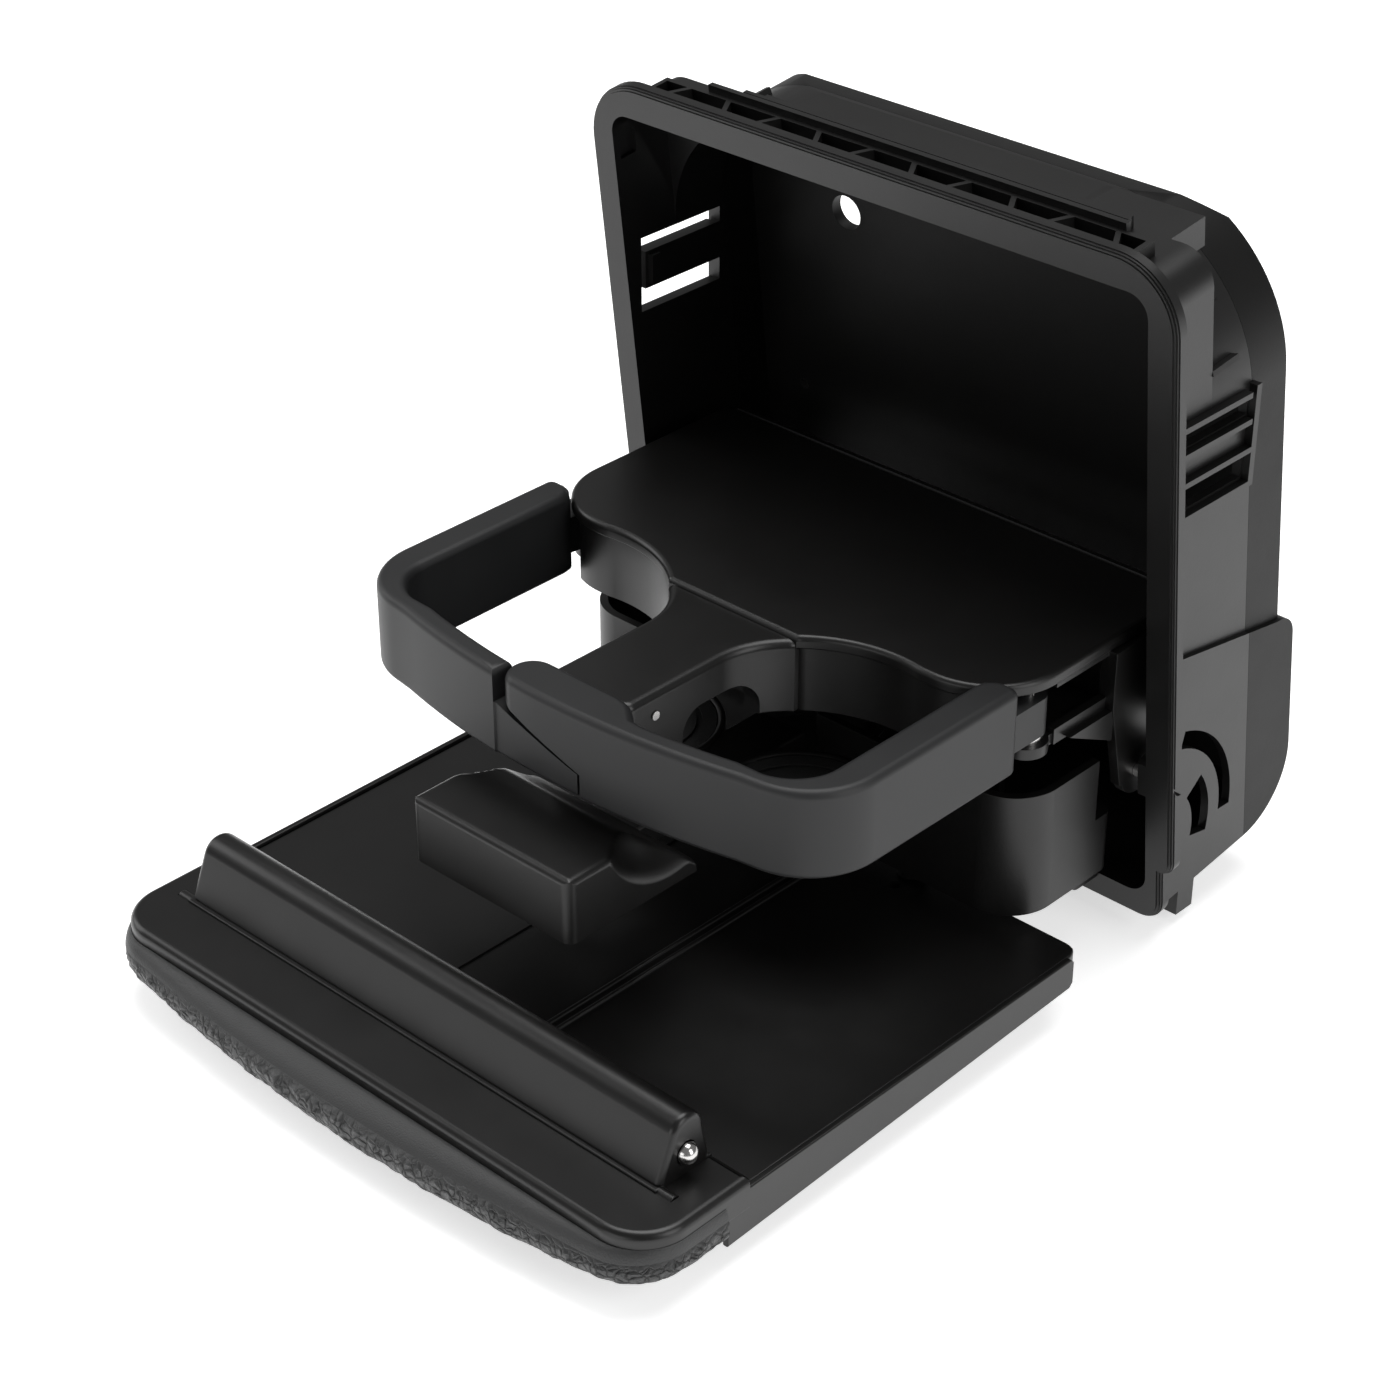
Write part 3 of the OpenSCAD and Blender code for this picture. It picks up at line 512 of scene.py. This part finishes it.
def union(first, others, cuts=()):
    """Joins others into the first solid, takes the cuts out of it and removes both."""
    for o in others:
        add_modifier(first, "BOOLEAN", operation="UNION", object=o, solver="EXACT")
    for o in cuts:
        add_modifier(first, "BOOLEAN", operation="DIFFERENCE", object=o, solver="EXACT")
    bpy.context.view_layer.update()
    mesh = bpy.data.meshes.new_from_object(first.evaluated_get(bpy.context.evaluated_depsgraph_get()))
    first.modifiers.clear()
    first.data = mesh
    for o in (*others, *cuts):
        bpy.data.objects.remove(o)


def dress(obj, finish, body, stands_for, angle=40.0, weighted=True):
    """Gives a finished mesh its material, shading and place in the frame; edges sharper than angle stay."""
    obj.data.materials.clear()
    obj.data.materials.append(material(finish))
    obj.data.shade_smooth()
    obj.data.set_sharp_from_angle(angle=math.radians(angle))
    if weighted:
        add_modifier(obj, "WEIGHTED_NORMAL", keep_sharp=True, weight=60)
    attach(obj, body)
    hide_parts(stands_for)


# ------------------------------------------------------------------ pieces
class CUPHOLDER_OT_solids(bpy.types.Operator):
    """Gives each carried-over solid its finish and moulded edges"""

    bl_idname = "cup_holder.solids"
    bl_label = "Solids"

    # nodes that the next operators model again
    modelled = ("arm_l", "arm_r", "door_skin", "deck_plate", "door_panel", "lock_bar", "cup_rest", "spine")
    # finish and edge width in millimetres; the pins, springs, balls and screws are steel
    finishes = {
        # the housing and lower cover take the tub finish and the rear shell the shell finish: darkened copies of the
        # plastic that paint in the shade of the tub
        "housing": ("tub", 0.5), "rear_shell": ("shell", 0.6),
        "lower_cover": ("tub", 0.5), "deck_carrier": ("deck", 0.35),
        "door_pad": ("foam", 0.0), "floor_pad_l": ("rubber", 0.0), "floor_pad_r": ("rubber", 0.0),
    }

    def execute(self, context):
        for name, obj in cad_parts.items():
            if name in self.modelled:
                continue
            finish, edge = self.finishes.get(name, ("steel", 0.0))
            for slot in obj.material_slots:
                slot.material = material(finish)
            add_modifier(obj, "WELD", merge_threshold=0.01 * MM)
            if edge:
                add_modifier(obj, "DECIMATE", decimate_type="DISSOLVE", angle_limit=math.radians(1.0))
                add_modifier(obj, "BEVEL", width=edge * MM, segments=2, limit_method="ANGLE",
                             angle_limit=math.radians(40), use_clamp_overlap=True, harden_normals=False)
                add_modifier(obj, "WEIGHTED_NORMAL", keep_sharp=False, weight=60)
        return {"FINISHED"}


class CUPHOLDER_OT_arms(bpy.types.Operator):
    """Models the two ring arms with their half-lapped front and rear tongues"""

    bl_idname = "cup_holder.arms"
    bl_label = "Ring arms"

    def execute(self, context):
        a = context.scene.cup_holder_arms
        hw, reach, edge = a.half_width / MM, a.reach / MM, a.edge / MM
        side_t, front_t = a.side_thickness / MM, a.front_thickness / MM
        low, top, low_edge = 53.5, 77.6, 1.6
        corner, bow = 21.0, 252.0          # radii of the front corner and of the bowed front
        step_x, nose_len = 11.4, 28.4      # the lap runs from the step to the right arm's nose
        lap_low, lap_rise = 60.8, 9.6
        head_y, slack = 117.4, 0.9         # rear side of the nose's round head
        end_x, end_y, end_r = 57.3, -35, 22.5    # the rear end follows the deck's rounded corner

        def joint(x):
            """Height of the lap: it falls from the nose's tip to the step."""
            return lap_low + lap_rise * (step_x - min(step_x, x)) / nose_len

        def left_joint(x):
            """The same for the left arm, drawn on the right: the gap widens from its tip to its step."""
            return joint(max(-18.5, -x)) - 1.0 - 0.045 * (x + 10.2)

        def front(x, inset):
            """A point of the bowed front, as far inside the outer face as inset."""
            return x, bow - reach - math.sqrt((bow - inset) ** 2 - x * x)

        def fronts(inset, *xs):
            return [front(x, inset) for x in xs]

        def span(x0, x1, n, inset):
            return [front(x0 + (x1 - x0) * i / n, inset) for i in range(n + 1)]

        # outer side, rear end and inner side, shared by both arms
        side = arc(hw - corner, 28.0 - reach, corner, -84, 0, 24)
        side += [(hw, y) for y in (-96, -88, -80, -70, -60)]
        side += arc(hw - 2.6, -53.1, 2.6, 0, 90, 6) + [(75.0, -50.5)]
        for g in (45.5, 48, 51, 54):
            v = math.radians(g)
            side.append((end_x + end_r * math.cos(v), end_y - end_r * math.sin(v)))
        side += [(hw - side_t, y) for y in (-56, -64, -72, -84, -96)]
        side += arc(hw - side_t - 13, 25.5 - reach, 13.0, 0, -80, 16)
        front_end = hw - corner - 3.0

        # the right arm's inner face swells to a round head with a nose over the left arm
        r = (reach - 0.4 - head_y - slack) / 2
        y1 = -head_y - slack
        flare = [(x, front(x, front_t)[1] + dy) for x, dy in ((30.0, 0.0), (25.5, 0.1), (22.0, 0.7))]
        flare += [(19.0, y1 - 2.6), (16.4, y1 - 0.9), (13.4, y1 - 0.1)]
        head = [(x, y1) for x in (step_x, 6.0, 0.0, -6.0)] + arc(-11.0, y1 - r, r, 90, 262, 22)
        right = side + span(52.0, 34.0, 4, front_t) + flare + head
        right += span(-6.0, 0.0, 2, 0.0) + fronts(0.0, 6.0, step_x) + span(18.0, front_end, 8, 0.0)
        right = tidy(right, 0.2)
        shelf = {i for i, (x, y) in enumerate(right) if x < 11.3}
        arm_right = lapped_solid("ring_arm_right", right, shelf, low, joint, top, low_edge, edge)

        # the left arm's nose is a plain tongue under the right one's
        left = side + span(52.0, 24.0, 5, front_t) + fronts(front_t, 18.5, 12.0, 0.0, -6.0, -10.2)
        left += fronts(0.5, -10.2, -6.0, 0.0, 12.0, 18.0) + fronts(0.0, 18.5) + span(24.0, front_end, 7, 0.0)
        left = tidy(left, 0.2)
        shelf = {i for i, (x, y) in enumerate(left) if x < 18.4}
        arm_left = mirror(lapped_solid("ring_arm_left", left, shelf, top, left_joint, low, edge, low_edge))

        # rear tongues on the arms' pins
        tongue = [(hw - 11.2, -40), (hw - 9.0, -54), (hw - 1.4, -54), (hw - 1.4, -40)]
        tongue += arc(74, -40, 5.0, 10, 170, 16)
        for arm, body in ((arm_right, "arm_r"), (arm_left, "arm_l")):
            root = rough_solid("arm_tongue", tongue, low + 5.2, low + 15.8)
            union(arm, [mirror(root) if arm is arm_left else root])
            dress(arm, "soft", body, body)
        return {"FINISHED"}


class CUPHOLDER_OT_deck(bpy.types.Operator):
    """Models the deck's smooth top with its cup recesses and curved rear apron, and the spine on it"""

    bl_idname = "cup_holder.deck"
    bl_label = "Deck top"

    def top_plate(self):
        """The deck's smooth top, with the apron that turns down behind it."""
        hw, rear, top, thick = 79.3, 18.0, 75.2, 3.5
        cx, cy, r = 47.0, -94.4, 38.0           # a cup's recess
        tab_y, end_y = -66.0, -57.0             # where the recess starts beside the spine and ends outside
        dx = math.sqrt(r * r - (tab_y - cy) ** 2)
        a_tab = math.degrees(math.atan2(tab_y - cy, -dx))
        a_end = math.degrees(math.atan2(end_y - cy, math.sqrt(r * r - (end_y - cy) ** 2)))
        half = [(cx - dx, tab_y)] + arc(cx, cy, r, a_tab, a_end, 22)[1:]
        half += arc(hw - 22.0, -35.0, 22.0, -90, 0, 20) + [(hw, rear)]
        plate = soft_solid("deck_cover", mirrored(half), top - thick, top, 0.4, 1.5)

        pivot_z, apron_hw = 32.0, 75.5
        outer = math.hypot(rear, top - pivot_z)
        sweep = arc(0.0, pivot_z, outer, 67.0, 46.0, 12) + arc(0.0, pivot_z, outer - 2.6, 46.0, 67.0, 12)
        union(plate, [rough_solid("deck_apron", sweep, -apron_hw, apron_hw, across)])
        dress(plate, "deck", "deck", "deck_plate")

    def spine(self):
        """The hollow, arched bridge between the cups."""
        half = arc(10.3, -114.4, 3.0, -90, 0, 8) + [(13.3, -92.0)]
        half += arc(35.85, -84.0, 22.55, 180, 128.7, 12) + [(21.7, -63.0)]
        spine = soft_solid("cup_spine", mirrored(half), 53.5, 73.8, 0.5, 2.2)
        hollow = rough_solid("spine_hollow", block(-10.9, 10.9, -115.0, -68.0), 52.0, 71.4)
        arch = [(-98.0, 50.0), (-73.0, 50.0)] + arc(-80, 56.5, 7.0, 0, 90, 10) + arc(-91, 56.5, 7.0, 90, 180, 10)
        arches = rough_solid("spine_arches", arch, -50.0, 50.0, across)
        bore = rough_solid("spine_bore", circle(-107.6, 67.6, 1.3), -50.0, 50.0, across)
        union(spine, [], [hollow, arches, bore])
        dress(spine, "deck", "deck", "spine")

    def execute(self, context):
        self.top_plate()
        self.spine()
        return {"FINISHED"}


class CUPHOLDER_OT_door(bpy.types.Operator):
    """Models the door's inner panel with its raised front rim, and the lock bar on it"""

    bl_idname = "cup_holder.door"
    bl_label = "Door panel and lock bar"

    def panel(self):
        """The panel, its raised front rim, side walls and ridges, with the channel and seats cut in."""
        hw, rear = (DOOR_HIGH.x - DOOR_LOW.x) / 2 / MM, (DOOR_HIGH.y - ZERO.y) / MM
        side = hw - 2.0
        plan = arc(side - 13, 13 - DOOR_LEN + 3, 13.0, -90, 0, 16) + arc(side - 5, rear - 5, 5.0, 0, 90, 12)
        panel = soft_solid("door_inner_panel", mirrored(plan), -PANEL_T, 0.0, 0.4, 0.7)
        plan = arc(hw - 14, 14 - DOOR_LEN, 14.0, -90, 0, 24) + [(hw, RIM_Y - 1.0), (hw - 1.0, RIM_Y)]
        rim = soft_solid("door_front_rim", mirrored(plan), -PANEL_T, RIM_H, 0.3, 2.2)
        # side walls, deep at the front and shallow at the hinge
        skirt = [(RIM_Y - 8.2, -12.6), (rear - 6.5, -8.2), (rear - 5.2, -6.8),
                 (rear - 5.2, -0.6), (rear - 6.6, 0.8), (RIM_Y - 8.2, 0.8)]
        walls = [soft_solid("door_side_wall", skirt, x, x + 1.9, 0.5, 0.5, across) for x in (hw - 2.0, -hw + 0.1)]
        ridges = [soft_solid("door_ridge", block(x, x + 1.5, -160.0, -52.0), -1.5, 0.7, 0.2, 0.6)
                  for x in (16.6, 19.8)]
        cuts = [rough_solid("door_channel", block(-15.6, 15.6, -150.0, -52.0), -0.5, 3.0),
                rough_solid("door_step", block(-side + 2.0, side - 2.0, -50.0, -30.0), -0.8, 2.0)]
        cuts += [rough_solid("peg_seat", circle(PEG_Y, PEG_Z, 1.65), x, x + 6.8, across)
                 for x in (BAR_HW - 2.2, -BAR_HW - 4.6)]
        cuts += [rough_solid("screw_seat", circle(x, SCREW_Y, 1.6), -20.0, 10.0) for x in (SCREW_X, -SCREW_X)]
        union(panel, [rim, *walls, *ridges], cuts)
        dress(panel, "door", "door", "door_panel")

    def lock_bar(self):
        """The bar: a slope that rises from its foot to a rolled edge, with a flange, two pegs and the ball holes."""
        rear, top, roll = BAR_Y + 18.0, RIM_H + 16.0, 5.4
        cy, cz = BAR_Y + 16.3 - roll, top - roll
        foot = (BAR_Y + 1.3, RIM_H + 1.4)
        # the angle at which the straight slope from the foot meets the roll
        lean = math.degrees(math.atan2(foot[1] - cz, foot[0] - cy)) % 360
        lean -= math.degrees(math.acos(roll / math.dist(foot, (cy, cz))))
        section = [(foot[0], RIM_H - 2.2), (rear, RIM_H - 2.2), (rear, RIM_H + 2.0)]
        section += arc(cy, cz, roll, 0, lean, 22) + [foot]
        bar = soft_solid("lock_bar_cover", section, -BAR_HW, BAR_HW, 1.7, 1.7, across)
        parts = [soft_solid("bar_flange", block(-BAR_HW, BAR_HW, BAR_Y, BAR_Y + 18.5),
                            RIM_H - 0.3, RIM_H + 0.7, 0.1, 0.4)]
        parts += [soft_solid("bar_peg", circle(PEG_Y, PEG_Z, 1.6), x, x + 6.4, 0.3, 0.3, across)
                  for x in (BAR_HW - 2.0, -BAR_HW - 4.4)]
        holes = [rough_solid("ball_hole", circle(BAR_Y + 10.1, RIM_H + 5.9, 3.2, 45), x, x + 20.0, across)
                 for x in (BAR_HW - 16.0, -BAR_HW - 4.0)]
        union(bar, parts, holes)
        dress(bar, "door", "door", "lock_bar")

    def execute(self, context):
        self.panel()
        self.lock_bar()
        return {"FINISHED"}


class CUPHOLDER_OT_rest(bpy.types.Operator):
    """Models the cup rest: scooped block, two cup floors and the stem to its pin"""

    bl_idname = "cup_holder.rest"
    bl_label = "Cup rest"

    # half width, ends and heights of the block
    hw, front, rear, low, top = 27.4, -151.6, -108.0, 28.8, 47.0

    def top_at(self, x, y):
        """Height of the block's top: flat front edge, a scoop for each cup and a slope to the rear."""
        top, edge, blend = self.top, 1.8, 0.55   # rolled edge, and how far the forms melt together
        slope, slope_y = math.radians(38.0), 127.0
        scoop_r, scoop_z, scoop_y = 31.5, top + 9.0, 34.6
        heights = [top, top - math.tan(slope) * (y + slope_y)]
        for cup in (-49.5, 49.5):
            rho = math.hypot(x - cup, y - self.front - scoop_y)
            heights.append(scoop_z - math.sqrt(scoop_r ** 2 - rho ** 2) if rho < scoop_r
                           else scoop_z + (rho - scoop_r))
        z = -blend * math.log(sum(math.exp(-h / blend + top / blend) for h in heights)) + top
        inside = min(self.hw - abs(x), y - self.front, self.rear - y)
        if inside < edge:
            z -= edge * (1 - math.sqrt(max(0.0, 1 - ((edge - inside) / edge) ** 2)))
        return max(z, self.low + 0.6)

    def scooped_block(self):
        """The block as a grid of points, finer along its edges."""
        hw, front, rear, low = self.hw, self.front, self.rear, self.low
        fine = [0.0, 0.04, 0.15, 0.35, 0.65, 1.05, 1.5, 2.0]
        xs = [-hw + d for d in fine] + [-hw + 2.0 + (2 * hw - 4.0) * i / 64 for i in range(1, 64)]
        xs += [hw - d for d in reversed(fine)]
        ys = [front + d for d in fine] + [front + 2.0 + (rear - front - 4.0) * i / 48 for i in range(1, 48)]
        ys += [rear - d for d in reversed(fine)]
        bm = bmesh.new()
        grid = [[bm.verts.new(at(x, y, self.top_at(x, y))) for x in xs] for y in ys]
        for a, b in zip(grid, grid[1:]):
            for i in range(len(xs) - 1):
                bm.faces.new((a[i], a[i + 1], b[i + 1], b[i]))
        loop = grid[0] + [row[-1] for row in grid[1:]]
        loop += list(reversed(grid[-1][:-1])) + [row[0] for row in reversed(grid[1:-1])]
        base = [bm.verts.new((v.co.x, v.co.y, at(0, 0, low).z)) for v in loop]
        wall(bm, [base, loop])
        bm.faces.new(list(reversed(base)))
        return loose("cup_rest_block", bm)

    def execute(self, context):
        hw, front, rear, low, top = self.hw, self.front, self.rear, self.low, self.top
        rest = self.scooped_block()
        corners = arc(hw - 2.6, front + 2.6, 2.6, -90, 0, 8) + [(hw, rear)]
        plan = rough_solid("rest_corners", mirrored(corners), low - 2.0, top + 2.0)
        add_modifier(rest, "BOOLEAN", operation="INTERSECT", object=plan, solver="EXACT")

        # a cup floor's section: flat underneath, with a rounded rim round its dish
        profile = [(0.01, low), (23.4, low), (24.0, low + 0.6), (24.0, low + 4.0), (23.7, low + 4.5),
                   (23.2, low + 4.6), (22.6, low + 4.5), (22.1, low + 4.0), (22.0, low + 2.2), (0.01, low + 2.2)]
        floors = [turned("cup_floor", x, -72.0, profile) for x in (29.0, -29.0)]
        keel = soft_solid("rest_keel", block(-8.0, 8.0, -112.0, -46.0), low - 3.0, low + 4.0, 0.4, 1.0)
        stem = [(-50, low + 4), (-62, low - 3), (-34, 12), (-16, 10.4), (-16, 21.6), (-40, low - 0.6)]
        stem = rough_solid("rest_stem", stem, -6.0, 6.0, across)
        hub = rough_solid("rest_hub", circle(*REST_PIN, 5.6, 36), -7.5, 7.5, across)
        bore = rough_solid("rest_bore", circle(*REST_PIN, 2.56), -20.0, 20.0, across)
        inside = block(-hw + 2.4, hw - 2.4, front + 2.4, front + 18.4)
        hollow = rough_solid("rest_hollow", inside, low - 1.0, low + 15.8)
        union(rest, [*floors, keel, stem, hub], [bore, hollow])
        bpy.data.objects.remove(plan)
        dress(rest, "rest", "rest", "cup_rest")
        return {"FINISHED"}


class CUPHOLDER_OT_cover(bpy.types.Operator):
    """Models the padded leather cover of the door, crowned and wrinkled"""

    bl_idname = "cup_holder.cover"
    bl_label = "Leather cover"

    def execute(self, context):
        c = context.scene.cup_holder_cover
        crown, depth, wrinkle = c.crown / MM, c.depth / MM, c.wrinkle
        n, m = c.columns, c.rings
        hw, front, rear, r = 94.7, -196.7, -36.4, 13.7
        roll = m * 2 // 3                # rings on the rolled side; the others lie underneath
        top = -PANEL_T - 0.06
        seam = front + 27.0              # in front of this line the leather climbs the panel's edge
        tuck, middle_y = 9.0, -118.0     # how far the side turns in, and where the rings end
        lowest = -18.99                  # the solid's underside

        # perimeter, starting at the rear middle
        path = [(0.0, rear)]
        for x, y, a0, a1 in ((hw - r, rear - r, 90, 0), (hw - r, front + r, 0, -90),
                             (-hw + r, front + r, 270, 180), (-hw + r, rear - r, 180, 90)):
            path += arc(x, y, r, a0, a1, 24)
        rim, normals = even_loop(path, n)

        def strip(x, y, nx, ny):
            """One strip of leather, from its edge at the rim to the middle of the door."""
            wrapped = y < seam
            padded = max(0.0, -ny) * (1.0 - (x / hw) ** 2 * 0.92)
            lift = PANEL_T - 0.4 if wrapped else 0.0
            bulge = (0.9 if wrapped else -2.9) + crown * padded + 0.3 * abs(nx)
            edge = top + lift
            drop = 6.0 + (depth - 7.4) * padded + abs(nx) + lift
            points = []
            for j in range(m + 1):
                if j <= roll:
                    v = j / roll
                    out = bulge * math.sin(math.pi * v * 1.15) ** 0.85 if v * 1.15 < 1 else 0.0
                    if wrapped:
                        out = max(out, 0.4 * (1 - v * v))
                    over = 0.0 if v < 0.55 else (v - 0.55) / 0.45
                    px, py = x + nx * (out - tuck * over * over), y + ny * (out - tuck * over * over)
                    pz = edge - drop * (0.5 - 0.5 * math.cos(math.pi * v)) ** 0.9
                else:
                    u = (j - roll) / (m - roll)
                    bx, by = x - nx * tuck, y - ny * tuck
                    px, py = bx * (1 - u), by + (middle_y - by) * u
                    belly = (1 - (px / hw) ** 2) * (1 - ((py + 122.0) / 96.0) ** 2)
                    pz = edge - drop
                    pz -= max(0.0, depth - drop + lift) * (1 - (1 - u) ** 2.2) * (0.35 + 0.65 * max(0.0, belly))
                # the wrinkles start below the edge and fade underneath and behind the seam
                rub = min(1.0, max(0.0, (edge - pz - 3.4) / 2.0))
                if j > roll:
                    rub *= max(0.25, 1 - (j - roll) / 12)
                elif not wrapped:
                    rub *= 0.3
                if rub > 0:
                    q = Vector((px, py, pz)) * 0.22
                    broad = noise.fractal(q, 0.9, 2.1, 4, noise_basis="PERLIN_ORIGINAL")
                    cells = noise.voronoi(q * 1.6)[0][0]
                    w = (broad * 0.9 + cells * 0.8 - 0.35) * rub * wrinkle / MM
                    px, py, pz = px + nx * w * 0.8, py + ny * w * 0.8, pz + w * 0.3
                points.append((px, py, max(pz, lowest)))
            return points

        bm = bmesh.new()
        strips = [strip(*p, *d) for p, d in zip(rim, normals)]
        rows = [[bm.verts.new(at(*s[j])) for s in strips] for j in range(m + 1)]
        wall(bm, rows)

        # the turned-in edge between the panel and the pad
        def turned_in(inset, z):
            return [bm.verts.new(at(x - nx * inset, y - ny * inset, z)) for (x, y), (nx, ny) in zip(rim, normals)]

        inner, deep, under = turned_in(6, top), turned_in(6, top - 3.2), turned_in(0, top)
        for pair in ((under, rows[0]), (inner, under), (deep, inner)):
            wall(bm, pair)
        bm.faces.new(deep)
        bm.faces.new(rows[-1])
        bmesh.ops.remove_doubles(bm, verts=bm.verts, dist=1e-6)
        obj = loose("leather_cover", bm)
        dress(obj, "leather", "door", "door_skin", 60.0, weighted=False)
        return {"FINISHED"}


class CUPHOLDER_OT_stage(bpy.types.Operator):
    """Adds the floor, the lamps and the camera at the photograph's angle"""

    bl_idname = "cup_holder.stage"
    bl_label = "Stage"

    # name, place, width and length in metres, watts
    lamps = (
        ("top_softbox", (-0.1, 0.25, 1.5), (1.4, 0.9), 17.0),
        ("left_softbox", (-1.5, -0.5, 0.9), (0.9, 1.2), 8.0),
        ("right_softbox", (1.5, 0.1, 0.8), (0.8, 1.2), 8.0),
        ("front_fill", (0.0, -1.6, 0.4), (1.2, 0.6), 3.5),
    )
    white = (1, 1, 1, 1)

    def floor(self):
        """A pale floor that keeps the shadow, and is white to the camera further out."""
        bm = bmesh.new()
        bmesh.ops.create_grid(bm, x_segments=1, y_segments=1, size=6.0)
        floor = loose("floor", bm)
        floor.location = (0, 0, -0.4 * MM)
        b = new_board("pale_floor")
        ray = b.add("ShaderNodeLightPath")
        seen = (ray[0] + ray[3]).low(1.0)        # camera and glossy rays
        diffuse = b.add("ShaderNodeBsdfDiffuse", None, {"Color": (0.93, 0.93, 0.93, 1.0)})[0]
        glow = b.add("ShaderNodeEmission", None, {"Color": self.white, "Strength": 0.60})[0]
        near = b.add("ShaderNodeAddShader", None, {0: diffuse, 1: glow})[0]
        radius = b.add("ShaderNodeVectorMath", {"operation": "LENGTH"}, {0: b.place()})[1]
        far = b.add("ShaderNodeEmission", None, {"Color": self.white, "Strength": 1.0})[0]
        fade = ((radius - 1.0) / 1.6).high(0.0).low(1.0)
        both = b.add("ShaderNodeMixShader", None, {0: fade, 1: near, 2: far})[0]
        mix = b.add("ShaderNodeMixShader", None, {0: seen, 1: diffuse, 2: both})[0]
        b.add("ShaderNodeOutputMaterial", None, {0: mix})
        floor.data.materials.append(b.owner)

    def studio(self, scene):
        """A dim even world that is white to the camera, and the lamps."""
        scene.world = bpy.data.worlds.new("studio")
        b = Board(scene.world)
        seen = b.add("ShaderNodeLightPath")[0]
        dim, bright = (b.add("ShaderNodeBackground", None, {0: self.white, 1: k})[0] for k in (0.21, 1.0))
        b.add("ShaderNodeOutputWorld", None, {0: b.add("ShaderNodeMixShader", None, {0: seen, 1: dim, 2: bright})[0]})
        target = Vector((0, -0.03, 0.07))
        for name, spot, size, power in self.lamps:
            lamp = bpy.data.lights.new(name, "AREA")
            lamp.shape = "RECTANGLE"
            lamp.size, lamp.size_y, lamp.energy = *size, power
            obj = bpy.data.objects.new(name, lamp)
            obj.location = spot
            obj.rotation_euler = (target - Vector(spot)).to_track_quat("-Z", "Y").to_euler()
            scene.collection.objects.link(obj)

    def camera(self, scene):
        """The camera, where the bezel's and the door's edges in the photograph put it."""
        cam = bpy.data.cameras.new("camera")
        cam.lens, cam.sensor_width, cam.sensor_fit = 80.46, 36.0, "HORIZONTAL"
        cam.clip_start, cam.clip_end = 0.01, 50
        obj = bpy.data.objects.new("camera", cam)
        az, el = math.radians(43.233), math.radians(31.466)
        back = Vector((math.sin(az) * math.cos(el), -math.cos(az) * math.cos(el), math.sin(el)))
        right = Vector((math.cos(az), math.sin(az), 0))
        turn = Matrix((right, back.cross(right), back)).transposed().to_4x4()
        obj.matrix_world = Matrix.Translation(at(461.7, -568.7, 465.5)) @ turn
        scene.collection.objects.link(obj)
        scene.camera = obj

    def execute(self, context):
        self.floor()
        self.studio(context.scene)
        self.camera(context.scene)
        context.scene.view_settings.view_transform = "Standard"
        return {"FINISHED"}


class CUPHOLDER_PT_panel(bpy.types.Panel):
    """Lists the pieces in the sidebar"""

    bl_idname = "CUPHOLDER_PT_panel"
    bl_label = "Cup holder"
    bl_space_type = "VIEW_3D"
    bl_region_type = "UI"
    bl_category = "Cup holder"

    def draw(self, context):
        column = self.layout.column()
        for op in OPERATORS:
            column.operator(op.bl_idname)
        for key in GROUPS:
            group, box = getattr(context.scene, key), self.layout.box()
            for name in group.__annotations__:
                box.prop(group, name)


OPERATORS = (CUPHOLDER_OT_solids, CUPHOLDER_OT_arms, CUPHOLDER_OT_deck, CUPHOLDER_OT_door,
             CUPHOLDER_OT_rest, CUPHOLDER_OT_cover, CUPHOLDER_OT_stage)
GROUPS = {"cup_holder_arms": CupHolderArms, "cup_holder_cover": CupHolderCover,
          "cup_holder_finish": CupHolderFinish}
CLASSES = (*GROUPS.values(), *OPERATORS, CUPHOLDER_PT_panel)


def register():
    for cls in CLASSES:
        bpy.utils.register_class(cls)
    for key, cls in GROUPS.items():
        setattr(bpy.types.Scene, key, PointerProperty(type=cls))


def unregister():
    for key in GROUPS:
        delattr(bpy.types.Scene, key)
    for cls in reversed(CLASSES):
        bpy.utils.unregister_class(cls)


def main():
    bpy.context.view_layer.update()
    register()
    bpy.ops.cup_holder.solids()
    bpy.ops.cup_holder.arms()
    bpy.ops.cup_holder.deck()
    bpy.ops.cup_holder.door()
    bpy.ops.cup_holder.rest()
    bpy.ops.cup_holder.cover()
    bpy.ops.cup_holder.stage()


if __name__ == "__main__":
    main()
